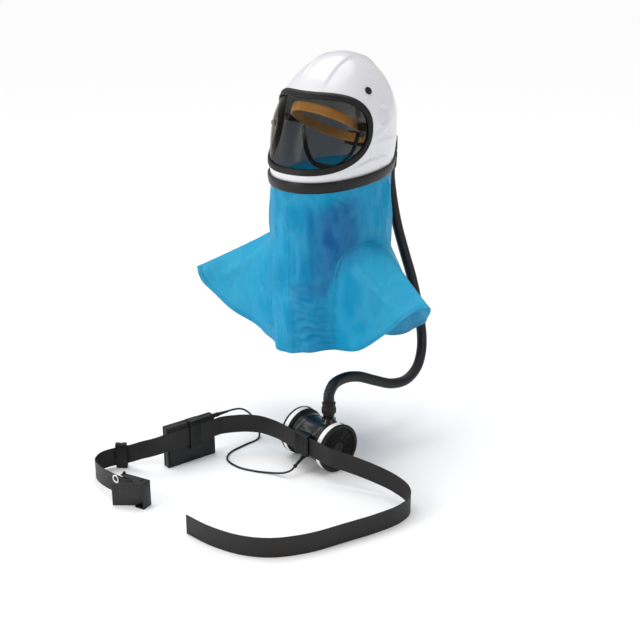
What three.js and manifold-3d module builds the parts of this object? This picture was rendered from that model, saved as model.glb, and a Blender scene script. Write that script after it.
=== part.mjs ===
// Powered respirator helmet: helmet shell with visor and harness, shroud, breathing hose, belt blower,
// battery and belt. Millimetres, +Z up, the wearer looks along -Y, the origin is where the head holds it.
import * as THREE from "three";
import Module from "manifold-3d";

// Helmet shell
const CROWN_Z = 46;
const SHELL_HEIGHT = 274;
const SHELL_HALF_WIDTH = 125;
const SHELL_WALL = 3.5;
const DOME_SHARE = 0.52; // share of the height over which the dome closes
const DOME_POWER = 2.05;
const PLAN_POWER = 2.15;
const RIM_FRONT_Z = -223;
const RIM_REAR_Z = -196;
// Shell plan by share of the height down from the crown, in shares of the half width.
const SHELL_PLAN = [
  { drop: 0.0, side: 0.896, front: 0.944, rear: 1.024, back: 0.24 },
  { drop: 0.24, side: 0.952, front: 0.992, rear: 1.104, back: 0.128 },
  { drop: 0.5, side: 1.0, front: 1.088, rear: 1.232, back: 0 },
  { drop: 0.72, side: 0.992, front: 1.208, rear: 1.2, back: 0 },
  { drop: 0.88, side: 0.952, front: 1.216, rear: 1.104, back: 0 },
  { drop: 1.0, side: 0.92, front: 1.2, rear: 0.96, back: 0 },
];

// Face opening, gasket and visor
const PORT_HALF_ANGLE = 80;
const PORT_TOP_Z = -24;
const PORT_BOTTOM_Z = -185;
const PORT_END_RISE = 6;
const PORT_STEPS = 18;
const REAR_STEPS = 18;
const FIT_GAP = 0.3;
const GASKET_LIP = 3;
const GASKET_WIDTH = 14;
const GASKET_PROUD = 3;
const GASKET_DEPTH = 6.8;
const VISOR_SETBACK = 2.3;
const VISOR_THICK = 2.5;
const VISOR_HOLD = 4; // depth of the visor's edge in the gasket
const POST_ANGLE = 68;
const POST_Z = -105;
const POST_R = 5.5;
const POST_HEIGHT = 8.5;
const PLUG_ANGLE = 77;
const PLUG_Z = -22;
const PLUG_R = 8.5;
const PLUG_HEIGHT = 2.2;

// Neck band and shroud
const BAND_HEIGHT = 23;
const BAND_THICK = 4.8;
const CLOTH = 1;
const NECK_REACH_Z = -345;
const NECK_PLAN_Z = -206; // height whose shell plan the neck keeps
const HEM_DROP = 600;
const WING_REACH = 325;

// Head harness
const HEADBAND_HALF_WIDTH = SHELL_HALF_WIDTH * 0.592;
const HEADBAND_HALF_LENGTH = SHELL_HALF_WIDTH * 0.728;
const HEADBAND_CENTRE_Y = SHELL_HALF_WIDTH * -0.064;
const HEADBAND_FRONT_Z = -52;
const HEADBAND_NAPE_Z = -146;
const HEADBAND_HEIGHT = 19;
const HEADBAND_THICK = 4;
const STRAP_WIDTH = 18;
const STRAP_THICK = 2;
const STRAP_CROWN_Z = 24;
const RATCHET = { width: 52, height: 30, depth: 14 };
const CHIN_CUP = { z: -190, y: SHELL_HALF_WIDTH * -0.272, height: 26, thick: 6 };
const ARM = { start: HEADBAND_HALF_WIDTH + 1.9, width: 14, height: 14 };

// Rear air duct, hose and cuff
const DUCT = { halfWidth: 55, proud: 18, topZ: -62, bottomZ: -166 };
const INLET = { x: 25, y: 184.5 };
const CUFF_TOP_Z = -196;
const CUFF_BOTTOM_Z = -226;
const HOSE_R = 12;
const COUPLING_R = 15.5;

// Ground under the belt, blower and battery
const GROUND_Z = -812;

// Blower and filters, in the blower's own frame
const BLOWER = { x: 96.3, y: -173.3, yaw: -10.95 };
const FILTER_R = 53.5;
const BODY_R = FILTER_R - 6.5;
const BODY_HALF = 42;
const FACE_HALF = 67;
const OUTLET = { x: 23, y: 9 };
const OUTLET_TOP = 120; // above the ground
const COUPLING_TOP = 146;

// Belt
const BELT_WIDTH = 42;
const BELT_THICK = 2.4;
const CLIP_WIDTH = 44;
const CLIP_START = -11;
const CLIP_LOW = -13;
const CLIP_LIFT = 42.5; // belt edge above the ground where it passes the blower

// Battery
const BATTERY = { length: 122, thick: 20, height: 95, x: -121.5, y: -346.5, yaw: 76.3 };
const BATTERY_BELT_LIFT = 43;

// Buckle
const BUCKLE = { x: -51.5, y: -541, yaw: 9.5, length: 68, height: 56, depth: 24, open: 29 };
const PIN = { x: -16, y: -7.5 };
const FLAP = { before: 6.6, beyond: 59, offset: 7.8 };
const PIN_R = 2.6;

// Cable
const CABLE_R = 2.2;

const COLOURS = {
  shell: [0xe9e9ec, 0.3, 0],
  rubber: [0x17171a, 0.55, 0],
  band: [0x1b1b1e, 0.35, 0],
  visor: [0x3c444c, 0.12, 0],
  cloth: [0x1f94d2, 0.65, 0],
  leather: [0xb98a55, 0.6, 0],
  black: [0x1c1c1f, 0.5, 0],
  strap: [0x1d1b1a, 0.7, 0],
  label: [0xe6e6e2, 0.6, 0],
  steel: [0xb9bcc0, 0.3, 1],
  grey: [0x9da0a4, 0.5, 0],
};

const wasm = await Module();
wasm.setup();
const group = new THREE.Group();
group.name = "powered_respirator_helmet";
const rad = THREE.MathUtils.degToRad;
const V = (x, y, z) => new THREE.Vector3(x, y, z);
const lerp = THREE.MathUtils.lerp;
const clamp = THREE.MathUtils.clamp;

// Collects triangles, merging vertices closer than a thousandth and leaving out empty triangles.
class Skin {
  constructor() {
    this.points = [];
    this.faces = [];
    this.seen = new Map();
  }
  at(p) {
    const key = [p.x, p.y, p.z].map((c) => Math.round(c * 1000)).join();
    if (!this.seen.has(key)) {
      this.seen.set(key, this.points.length);
      this.points.push(p);
    }
    return this.seen.get(key);
  }
  tri(a, b, c) {
    const t = [this.at(a), this.at(b), this.at(c)];
    if (t[0] !== t[1] && t[1] !== t[2] && t[2] !== t[0]) this.faces.push(t);
  }
  quad(a, b, c, d) {
    this.tri(a, b, c);
    this.tri(a, c, d);
  }
  geometry() {
    let volume = 0;
    for (const [a, b, c] of this.faces)
      volume += this.points[a].dot(this.points[b].clone().cross(this.points[c]));
    const order = volume < 0 ? ([a, b, c]) => [a, c, b] : (t) => t;
    const g = new THREE.BufferGeometry();
    g.setAttribute("position", new THREE.Float32BufferAttribute(this.points.flatMap((p) => [p.x, p.y, p.z]), 3));
    g.setIndex(this.faces.flatMap(order));
    g.computeVertexNormals();
    return g;
  }
}

function add(name, geometry, colour, matrix = new THREE.Matrix4()) {
  const [hex, roughness, metalness] = COLOURS[colour];
  const material = new THREE.MeshStandardMaterial({ color: hex, roughness, metalness });
  const mesh = new THREE.Mesh(geometry.clone().applyMatrix4(matrix), material);
  mesh.name = name;
  group.add(mesh);
  return mesh;
}

// A sheet of cols by rows cells with an outer face (side 0), an inner face (side 1) and walls at its edges.
function thickGrid(cols, rows, point, { wrap = false, present = () => true, mirrored = () => false } = {}) {
  const skin = new Skin();
  const has = (i, j) => {
    if (j < 0 || j >= rows) return false;
    if (!wrap && (i < 0 || i >= cols)) return false;
    return present((i + cols) % cols, j);
  };
  const at = (i, j, side) => point(wrap ? i % cols : i, j, side);
  for (let i = 0; i < cols; i++)
    for (let j = 0; j < rows; j++) {
      if (!has(i, j)) continue;
      const o = [at(i, j, 0), at(i + 1, j, 0), at(i + 1, j + 1, 0), at(i, j + 1, 0)];
      const n = [at(i, j, 1), at(i + 1, j, 1), at(i + 1, j + 1, 1), at(i, j + 1, 1)];
      if (mirrored(i)) {
        skin.quad(o[1], o[2], o[3], o[0]);
        skin.quad(n[0], n[3], n[2], n[1]);
      } else {
        skin.quad(o[0], o[1], o[2], o[3]);
        skin.quad(n[3], n[2], n[1], n[0]);
      }
      if (!has(i, j - 1)) skin.quad(o[1], o[0], n[0], n[1]);
      if (!has(i, j + 1)) skin.quad(o[3], o[2], n[2], n[3]);
      if (!has(i - 1, j)) skin.quad(o[0], o[3], n[3], n[0]);
      if (!has(i + 1, j)) skin.quad(o[2], o[1], n[1], n[2]);
    }
  return skin.geometry();
}

// Skins equal rings of points; an open row of rings gets flat ends.
function skinRings(rings, closed) {
  const skin = new Skin();
  const n = rings[0].length;
  const last = closed ? rings.length : rings.length - 1;
  for (let k = 0; k < last; k++) {
    const a = rings[k];
    const b = rings[(k + 1) % rings.length];
    for (let i = 0; i < n; i++) skin.quad(a[i], a[(i + 1) % n], b[(i + 1) % n], b[i]);
  }
  if (!closed)
    for (const [ring, flip] of [[rings[0], true], [rings[rings.length - 1], false]]) {
      const mid = ring.reduce((s, p) => s.add(p), V(0, 0, 0)).divideScalar(n);
      for (let i = 0; i < n; i++) {
        const [p, q] = flip ? [ring[(i + 1) % n], ring[i]] : [ring[i], ring[(i + 1) % n]];
        skin.tri(mid, p, q);
      }
    }
  return skin.geometry();
}

function asSolid(geometry) {
  return new wasm.Manifold(
    new wasm.Mesh({
      numProp: 3,
      vertProperties: geometry.attributes.position.array,
      triVerts: new Uint32Array(geometry.index.array),
    }),
  );
}

function fromSolid(solid) {
  const mesh = solid.getMesh();
  const skin = new Skin();
  const p = mesh.vertProperties;
  const at = (i) => V(p[i * mesh.numProp], p[i * mesh.numProp + 1], p[i * mesh.numProp + 2]);
  for (let t = 0; t < mesh.triVerts.length; t += 3)
    skin.tri(at(mesh.triVerts[t]), at(mesh.triVerts[t + 1]), at(mesh.triVerts[t + 2]));
  return skin.geometry();
}

const moved = (geometry, matrix) => geometry.clone().applyMatrix4(matrix);
const shift = (x, y, z) => new THREE.Matrix4().makeTranslation(x, y, z);
const turnZ = (degrees) => new THREE.Matrix4().makeRotationZ(rad(degrees));
const chain = (...m) => m.reduce((a, b) => a.clone().multiply(b));

// A body of revolution about +Z from [radius, height] pairs that start and end on the axis or close.
function turned(profile, segments) {
  const open = profile[0][0] === 0;
  const rows = open ? profile : [...profile, profile[0]];
  const skin = new Skin();
  const at = ([r, z], k) => {
    const a = (2 * Math.PI * k) / segments;
    return V(r * Math.cos(a), r * Math.sin(a), z);
  };
  for (let i = 0; i + 1 < rows.length; i++)
    for (let k = 0; k < segments; k++)
      skin.quad(at(rows[i], k), at(rows[i], k + 1), at(rows[i + 1], k + 1), at(rows[i + 1], k));
  return skin.geometry();
}

// A prism along +Z with its upper and lower edges cut by a small chamfer.
function prism(outline, z0, z1, chamfer = 0) {
  const mid = outline.reduce((s, p) => [s[0] + p[0] / outline.length, s[1] + p[1] / outline.length], [0, 0]);
  const inner = outline.map(([x, y]) => {
    const d = Math.hypot(x - mid[0], y - mid[1]);
    return [x - ((x - mid[0]) / d) * chamfer * 1.3, y - ((y - mid[1]) / d) * chamfer * 1.3];
  });
  const ring = (o, z) => o.map(([x, y]) => V(x, y, z));
  const rings = chamfer
    ? [ring(inner, z0), ring(outline, z0 + chamfer), ring(outline, z1 - chamfer), ring(inner, z1)]
    : [ring(outline, z0), ring(outline, z1)];
  return skinRings(rings, false);
}

function roundedOutline(x0, y0, x1, y1, r, steps = 2) {
  const out = [];
  for (const [cx, cy, from] of [[x1 - r, y1 - r, 0], [x0 + r, y1 - r, 90], [x0 + r, y0 + r, 180], [x1 - r, y0 + r, 270]])
    for (let k = 0; k <= steps; k++) {
      const a = rad(from + (90 * k) / steps);
      out.push([cx + r * Math.cos(a), cy + r * Math.sin(a)]);
    }
  return out;
}

const block = (x0, y0, z0, x1, y1, z1, r = 1.5, chamfer = 1) =>
  prism(roundedOutline(x0, y0, x1, y1, r), z0, z1, chamfer);

// Interpolates the columns of a table smoothly along its first named column.
function along(table, key, t) {
  const names = Object.keys(table[0]).filter((n) => n !== key);
  let k = table.findIndex((row) => row[key] > t) - 1;
  if (k < 0) k = t <= table[0][key] ? 0 : table.length - 2;
  const a = table[k];
  const b = table[k + 1];
  const h = b[key] - a[key];
  const s = clamp((t - a[key]) / h, 0, 1);
  const slope = (i, n) => {
    const p = table[Math.max(i - 1, 0)];
    const q = table[Math.min(i + 1, table.length - 1)];
    return (q[n] - p[n]) / (q[key] - p[key]);
  };
  const out = {};
  for (const n of names)
    out[n] =
      (2 * s ** 3 - 3 * s ** 2 + 1) * a[n] +
      (s ** 3 - 2 * s ** 2 + s) * h * slope(k, n) +
      (-2 * s ** 3 + 3 * s ** 2) * b[n] +
      (s ** 3 - s ** 2) * h * slope(k + 1, n);
  return out;
}

// Shell surface at an angle from the front (towards +X) and a height, moved inwards by inset.
function shellPoint(theta, z, inset = 0) {
  const height = SHELL_HEIGHT - inset;
  const drop = clamp((CROWN_Z - inset - z) / height, 0, 1);
  const plan = along(SHELL_PLAN, "drop", drop);
  const share = (1 - clamp(1 - drop / DOME_SHARE, 0, 1) ** DOME_POWER) ** (1 / DOME_POWER);
  const s = Math.sin(theta);
  const c = Math.cos(theta);
  const px = Math.sign(s) * Math.abs(s) ** (2 / PLAN_POWER);
  const py = Math.sign(c) * Math.abs(c) ** (2 / PLAN_POWER);
  const depth = (c > 0 ? plan.front : plan.rear) * SHELL_HALF_WIDTH;
  return V(
    (plan.side * SHELL_HALF_WIDTH - inset) * share * px,
    plan.back * SHELL_HALF_WIDTH - (depth - inset) * share * py,
    z,
  );
}

function shellNormal(theta, z) {
  const across = shellPoint(theta + 0.02, z).sub(shellPoint(theta - 0.02, z));
  const upward = shellPoint(theta, z + 1.5).sub(shellPoint(theta, z - 1.5));
  return across.cross(upward).normalize();
}

const rimZ = (theta) => lerp(RIM_REAR_Z, RIM_FRONT_Z, (1 + Math.cos(theta)) / 2);
const portMid = (theta) =>
  (PORT_TOP_Z + PORT_BOTTOM_Z) / 2 + PORT_END_RISE * (theta / rad(PORT_HALF_ANGLE)) ** 2;

// Angle and height of the face opening's edge, moved outwards by out; t runs round it from the top.
function portEdge(t, out = 0) {
  const place = (u) => {
    const theta = rad(PORT_HALF_ANGLE) * Math.sin(u);
    const bulge = Math.max(0, 1 - Math.abs(Math.sin(u)) ** 3.2) ** (1 / 2.2);
    return [theta, portMid(theta) + ((PORT_TOP_Z - PORT_BOTTOM_Z) / 2) * Math.sign(Math.cos(u)) * bulge];
  };
  const [theta, z] = place(t);
  if (!out) return [theta, z];
  const reach = shellPoint(theta + 0.01, z).distanceTo(shellPoint(theta - 0.01, z)) / 0.02;
  const [ta, za] = place(t - 0.05);
  const [tb, zb] = place(t + 0.05);
  const run = V((tb - ta) * reach, zb - za, 0).normalize();
  return [theta - (run.y * out) / reach, z + run.x * out];
}

// Columns round the shell: the face opening's columns, then the rear ones.
const COLUMNS = [];
for (let k = 0; k <= PORT_STEPS; k++) COLUMNS.push(rad(PORT_HALF_ANGLE) * Math.sin(-Math.PI / 2 + (Math.PI * k) / PORT_STEPS));
for (let k = 1; k < REAR_STEPS; k++) COLUMNS.push(rad(PORT_HALF_ANGLE + (180 - PORT_HALF_ANGLE) * (1 - Math.cos((Math.PI * k) / REAR_STEPS))));

// True for the cells on the wearer's right, whose diagonals run the other way.
const rightHand = (i) => i < PORT_STEPS / 2 || i >= PORT_STEPS + REAR_STEPS / 2;

function portSpan(theta) {
  const turn = Math.abs(Math.atan2(Math.sin(theta), Math.cos(theta)));
  const half = rad(PORT_HALF_ANGLE);
  if (turn < half) {
    const u = Math.asin(clamp(theta / half, -1, 1));
    return [portEdge(u)[1], portEdge(Math.PI - u)[1]];
  }
  const gap = 22 * Math.sin(((turn - half) / (Math.PI - half)) * (Math.PI / 2));
  return [portMid(half) + gap, portMid(half) - gap];
}

// Shell
const UPPER_ROWS = 8;
const LOWER_ROWS = 3;
add(
  "helmet_shell",
  thickGrid(
    COLUMNS.length,
    UPPER_ROWS + 1 + LOWER_ROWS,
    (i, j, side) => {
      const theta = COLUMNS[i];
      const [top, bottom] = portSpan(theta);
      const rim = rimZ(theta);
      const bandTop = rim + BAND_HEIGHT - 2;
      let z;
      if (j <= UPPER_ROWS) z = CROWN_Z - (CROWN_Z - top) * (1 - Math.cos((Math.PI / 2) * (j / UPPER_ROWS) ** 0.9));
      else z = [bottom, Math.min(bottom - 0.4 * (bottom - bandTop), bottom - 1), bandTop, rim][j - UPPER_ROWS - 1];
      if (!side) return shellPoint(theta, z);
      const lower = SHELL_WALL * clamp((z - PORT_TOP_Z) / (CROWN_Z - PORT_TOP_Z), 0, 1);
      return shellPoint(theta, z - lower, SHELL_WALL);
    },
    { wrap: true, present: (i, j) => j !== UPPER_ROWS || i >= PORT_STEPS, mirrored: rightHand },
  ),
  "shell",
);

// Gasket with a groove for the shell and one for the visor
const grip = GASKET_LIP - GASKET_WIDTH;
const web = -VISOR_HOLD - 3;
const GASKET_SECTION = [
  [GASKET_LIP, FIT_GAP],
  [GASKET_LIP - 3, GASKET_PROUD],
  [grip + 2.5, GASKET_PROUD],
  [grip, 0.8],
  [grip, FIT_GAP - VISOR_SETBACK],
  [web, FIT_GAP - VISOR_SETBACK],
  [web, -VISOR_SETBACK - VISOR_THICK - FIT_GAP - 0.35],
  [grip, -VISOR_SETBACK - VISOR_THICK - FIT_GAP - 0.35],
  [grip, -GASKET_DEPTH],
  [GASKET_LIP, -GASKET_DEPTH],
  [GASKET_LIP, -SHELL_WALL - 0.9],
  [-FIT_GAP, -SHELL_WALL - 0.9],
  [-FIT_GAP, FIT_GAP],
];
const portTurns = [];
for (let k = 0; k < 2 * PORT_STEPS; k++) portTurns.push(-Math.PI / 2 + (Math.PI * k) / PORT_STEPS);
const onPort = (t, out, proud) => {
  const [theta, z] = portEdge(t, out);
  return shellPoint(theta, z, -proud);
};
add("visor_gasket", skinRings(portTurns.map((t) => GASKET_SECTION.map(([a, b]) => onPort(t, a, b))), true), "rubber");

// Visor, its edge held in the gasket's groove
const VISOR_ROWS = 6;
const visorEdge = web - FIT_GAP - 0.4;
add(
  "visor",
  thickGrid(PORT_STEPS, VISOR_ROWS, (i, j, side) => {
    const t = -Math.PI / 2 + (Math.PI * i) / PORT_STEPS;
    const [ta, za] = portEdge(t, visorEdge);
    const [tb, zb] = portEdge(Math.PI - t, visorEdge);
    const s = j / VISOR_ROWS;
    return shellPoint(lerp(ta, tb, s), lerp(za, zb, s), VISOR_SETBACK + (side ? VISOR_THICK : 0));
  }, { mirrored: (i) => i < PORT_STEPS / 2 }),
  "visor",
);

// A turned piece standing on the shell's surface
function onShell(name, profile, segments, theta, z, proud, colour) {
  const normal = shellNormal(theta, z);
  const at = shellPoint(theta, z).addScaledVector(normal, proud);
  const q = new THREE.Quaternion().setFromUnitVectors(V(0, 0, 1), normal);
  add(name, turned(profile, segments), colour, new THREE.Matrix4().compose(at, q, V(1, 1, 1)));
}
const domed = (r, h) => [[0, 0], [r, 0], [r, h * 0.45], [r * 0.86, h * 0.85], [r * 0.5, h], [0, h]];
for (const [side, sign] of [["left", 1], ["right", -1]]) {
  onShell(`visor_post_${side}`, domed(POST_R, POST_HEIGHT), 10, sign * rad(POST_ANGLE), POST_Z, FIT_GAP - VISOR_SETBACK, "black");
  onShell(`shell_plug_${side}`, domed(PLUG_R, PLUG_HEIGHT), 12, sign * rad(PLUG_ANGLE), PLUG_Z, 0.6, "black");
}

// Neck band over the shroud's top edge
const bandInside = 2 * FIT_GAP + CLOTH;
const BAND_SECTION = [
  [bandInside, -1.5],
  [bandInside, BAND_HEIGHT - 1.5],
  [bandInside + BAND_THICK * 0.6, BAND_HEIGHT - 0.8],
  [bandInside + BAND_THICK, BAND_HEIGHT - 4],
  [bandInside + BAND_THICK, 1.5],
  [bandInside + BAND_THICK * 0.6, -2.2],
];
add(
  "neck_band",
  skinRings(
    COLUMNS.map((theta) => {
      const rim = rimZ(theta);
      return BAND_SECTION.map(([out, up]) => shellPoint(theta, rim + Math.max(up, 0), -out).setZ(rim + up));
    }),
    true,
  ),
  "band",
);

// Shroud: a tube from the band down to a crease, and from there to the hem. Hem points by angle from the
// front: across in shares of the wing's reach, fore and aft and down in shares of the hem's drop.
const SHROUD_HEM = [
  { turn: -180, across: 0, aft: 0.21, down: 1.03, crease: 1.22 },
  { turn: -142, across: -0.36, aft: 0.13, down: 1.02, crease: 1.2 },
  { turn: -118, across: -0.74, aft: -0.01, down: 0.93, crease: 1.03 },
  { turn: -100, across: -0.97, aft: -0.13, down: 0.815, crease: 1.0 },
  { turn: -90, across: -1.0, aft: -0.165, down: 0.775, crease: 0.99 },
  { turn: -80, across: -0.93, aft: -0.167, down: 0.84, crease: 0.985 },
  { turn: -62, across: -0.65, aft: -0.15, down: 0.925, crease: 1.0 },
  { turn: -48, across: -0.4, aft: -0.16, down: 0.965, crease: 1.06 },
  { turn: -38, across: -0.25, aft: -0.205, down: 0.965, crease: 1.2 },
  { turn: -18, across: -0.12, aft: -0.245, down: 0.98, crease: 1.22 },
  { turn: 0, across: -0.01, aft: -0.25, down: 0.98, crease: 1.22 },
  { turn: 18, across: 0.13, aft: -0.24, down: 0.965, crease: 1.22 },
  { turn: 38, across: 0.29, aft: -0.2, down: 0.945, crease: 1.2 },
  { turn: 48, across: 0.45, aft: -0.158, down: 0.938, crease: 1.04 },
  { turn: 62, across: 0.63, aft: -0.13, down: 0.86, crease: 0.99 },
  { turn: 80, across: 0.85, aft: -0.15, down: 0.752, crease: 0.985 },
  { turn: 90, across: 0.98, aft: -0.163, down: 0.715, crease: 1.0 },
  { turn: 100, across: 0.96, aft: -0.13, down: 0.752, crease: 1.01 },
  { turn: 118, across: 0.76, aft: -0.02, down: 0.845, crease: 1.04 },
  { turn: 142, across: 0.4, aft: 0.12, down: 0.97, crease: 1.2 },
  { turn: 180, across: 0, aft: 0.21, down: 1.03, crease: 1.22 },
];
const SHROUD_TUBE_ROWS = 4;
const SHROUD_SKIRT_ROWS = 8;
function shroudPoint(theta, j) {
  const rim = rimZ(theta);
  const out = FIT_GAP + CLOTH / 2;
  if (j === 0) return shellPoint(theta, rim + BAND_HEIGHT - 4, -out);
  const top = shellPoint(theta, rim, -out);
  const turn = THREE.MathUtils.radToDeg(Math.atan2(Math.sin(theta), Math.cos(theta)));
  const hem = along(SHROUD_HEM, "turn", turn);
  const neck = shellPoint(theta, NECK_PLAN_Z, -out).setZ(hem.crease * NECK_REACH_Z);
  if (j <= 1 + SHROUD_TUBE_ROWS) return top.lerp(neck, (j - 1) / SHROUD_TUBE_ROWS);
  const end = V(hem.across * WING_REACH, hem.aft * HEM_DROP, -hem.down * HEM_DROP);
  return neck.lerp(end, (j - 1 - SHROUD_TUBE_ROWS) / SHROUD_SKIRT_ROWS);
}
{
  const rows = 1 + SHROUD_TUBE_ROWS + SHROUD_SKIRT_ROWS;
  const n = COLUMNS.length;
  const mid = COLUMNS.map((theta) => Array.from({ length: rows + 1 }, (_, j) => shroudPoint(theta, j)));
  const normal = (i, j) => {
    const across = mid[(i + 1) % n][j].clone().sub(mid[(i + n - 1) % n][j]);
    const down = mid[i][Math.min(j + 1, rows)].clone().sub(mid[i][Math.max(j - 1, 0)]);
    return down.cross(across).normalize();
  };
  // Two halves, sewn together at the middle of the front and of the back
  const half = n / 2;
  for (const [side, first, sign] of [["left", PORT_STEPS / 2, 1], ["right", PORT_STEPS / 2 + half, -1]]) {
    const point = (i, j, inner) => {
      const k = (first + i) % n;
      const seam = i % half === 0 ? (sign * FIT_GAP) / 2 : 0;
      return mid[k][j].clone().addScaledVector(normal(k, j), inner ? -CLOTH / 2 : CLOTH / 2).add(V(seam, 0, 0));
    };
    add(`shroud_${side}`, thickGrid(half, rows, point, { mirrored: (i) => rightHand((first + i) % n) }), "cloth");
  }
}

// Headband: a tilted oval strip
const headbandTilt = Math.atan2(HEADBAND_FRONT_Z - HEADBAND_NAPE_Z, 2 * HEADBAND_HALF_LENGTH);
const headbandFrame = chain(
  shift(0, HEADBAND_CENTRE_Y, (HEADBAND_FRONT_Z + HEADBAND_NAPE_Z) / 2),
  new THREE.Matrix4().makeRotationX(-headbandTilt),
);
const headbandRing = Array.from({ length: 30 }, (_, k) => {
  const a = (2 * Math.PI * k) / 30;
  const long = HEADBAND_HALF_LENGTH / Math.cos(headbandTilt);
  const at = (out, up) => V((HEADBAND_HALF_WIDTH + out) * Math.sin(a), -(long + out) * Math.cos(a), up);
  const h = HEADBAND_HEIGHT / 2;
  const t = HEADBAND_THICK / 2;
  return [at(-t, -h), at(-t, h), at(0, h + 1), at(t, h), at(t, -h), at(0, -h - 1)].map((p) => p.applyMatrix4(headbandFrame));
});
add("headband", skinRings(headbandRing, true), "leather");
{
  const long = HEADBAND_HALF_LENGTH / Math.cos(headbandTilt) + HEADBAND_THICK / 2 + FIT_GAP;
  const half = RATCHET.width / 2;
  const shape = [];
  for (let k = -4; k <= 4; k++) {
    const x = (half * k) / 4;
    shape.push([x, long - HEADBAND_HALF_LENGTH * 0.55 + HEADBAND_HALF_LENGTH * 0.55 * Math.sqrt(1 - (x / HEADBAND_HALF_WIDTH) ** 2)]);
  }
  const outer = [[half, long + RATCHET.depth * 0.35], [half * 0.55, long + RATCHET.depth], [-half * 0.55, long + RATCHET.depth], [-half, long + RATCHET.depth * 0.35]];
  add("headband_ratchet", prism([...shape, ...outer], -RATCHET.height / 2, RATCHET.height / 2), "black", headbandFrame);
}

// Arms that carry the headband from the shell's sides
{
  const inside = skinRings(
    [-150, -120, -98.5, -60].map((z) => COLUMNS.map((theta) => shellPoint(theta, z, SHELL_WALL + FIT_GAP))),
    false,
  );
  const z = (HEADBAND_FRONT_Z + HEADBAND_NAPE_Z) / 2;
  for (const [side, sign] of [["left", 1], ["right", -1]]) {
    const [x0, x1] = [sign * ARM.start, sign * (SHELL_HALF_WIDTH + 5)].sort((a, b) => a - b);
    const [front, rear] = [-1, 1].map((end) => HEADBAND_CENTRE_Y + (end * ARM.width) / 2);
    const bar = block(x0, front, z - ARM.height / 2, x1, rear, z + ARM.height / 2, 2, 1);
    add(`harness_arm_${side}`, fromSolid(asSolid(bar).intersect(asSolid(inside))), "black");
  }
}

// Crown straps: two crossing arcs over the head
function arcStrap(from, over, to, across) {
  const curve = new THREE.CatmullRomCurve3([from, ...over, to]);
  const side = across.clone().normalize();
  const rings = [];
  for (let k = 0; k <= 16; k++) {
    const p = curve.getPoint(k / 16);
    const n = curve.getTangent(k / 16).cross(side).normalize();
    const w = side.clone().multiplyScalar(STRAP_WIDTH / 2);
    const t = n.multiplyScalar(STRAP_THICK / 2);
    rings.push([p.clone().add(w).add(t), p.clone().sub(w).add(t), p.clone().sub(w).sub(t), p.clone().add(w).sub(t)]);
  }
  return skinRings(rings, false);
}
{
  const y = HEADBAND_CENTRE_Y;
  const midZ = (HEADBAND_FRONT_Z + HEADBAND_NAPE_Z) / 2;
  const clear = HEADBAND_HEIGHT / 2 + 1 + FIT_GAP + 1.5;
  const w = HEADBAND_HALF_WIDTH;
  const l = HEADBAND_HALF_LENGTH;
  const tops = [V(-w * 0.74, y + 6, -20), V(0, y + 12, STRAP_CROWN_Z), V(w * 0.74, y + 6, -20)];
  const side = arcStrap(V(-w, y, midZ + clear + 5), tops, V(w, y, midZ + clear + 5), V(0, 1, 0));
  const overs = [V(0, y - l * 0.69, -19), V(0, y - l * 0.47, 2), V(0, y + 12, STRAP_CROWN_Z), V(0, y + l * 0.8, -36)];
  const long = arcStrap(V(0, y + 9 - l, HEADBAND_FRONT_Z + clear - 2), overs, V(0, y + l + 6, HEADBAND_NAPE_Z + clear + 2), V(1, 0, 0));
  add("crown_straps", fromSolid(asSolid(side).add(asSolid(long))), "grey");
}

// Chin strap: a band hanging from both sides of the headband with a cup in its middle
{
  const w = HEADBAND_HALF_WIDTH;
  const y = HEADBAND_CENTRE_Y;
  const midZ = (HEADBAND_FRONT_Z + HEADBAND_NAPE_Z) / 2;
  const startZ = midZ - HEADBAND_HEIGHT / 2 - 5;
  const curve = new THREE.CatmullRomCurve3([
    V(-w, y, startZ), V(-w * 0.86, y - 8, startZ - 40), V(-w * 0.45, CHIN_CUP.y + 4, CHIN_CUP.z + 6), V(0, CHIN_CUP.y, CHIN_CUP.z),
    V(w * 0.45, CHIN_CUP.y + 4, CHIN_CUP.z + 6), V(w * 0.86, y - 8, startZ - 40), V(w, y, startZ),
  ]);
  const rings = [];
  const steps = 28;
  for (let k = 0; k <= steps; k++) {
    const s = k / steps;
    const p = curve.getPoint(s);
    const tangent = curve.getTangent(s);
    const cup = clamp(1 - Math.abs(s - 0.5) / 0.13, 0, 1) ** 0.6;
    const wide = lerp(STRAP_WIDTH * 0.8, CHIN_CUP.height, cup) / 2;
    const thick = lerp(STRAP_THICK, CHIN_CUP.thick, cup) / 2;
    const flat = V(0, 1, 0).addScaledVector(tangent, -tangent.y).normalize();
    const n = tangent.clone().cross(flat).normalize();
    const a = flat.multiplyScalar(wide);
    const b = n.multiplyScalar(thick);
    rings.push([p.clone().add(a).add(b), p.clone().sub(a).add(b), p.clone().sub(a).sub(b), p.clone().add(a).sub(b)]);
  }
  add("chin_strap", skinRings(rings, false), "black");
}

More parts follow.
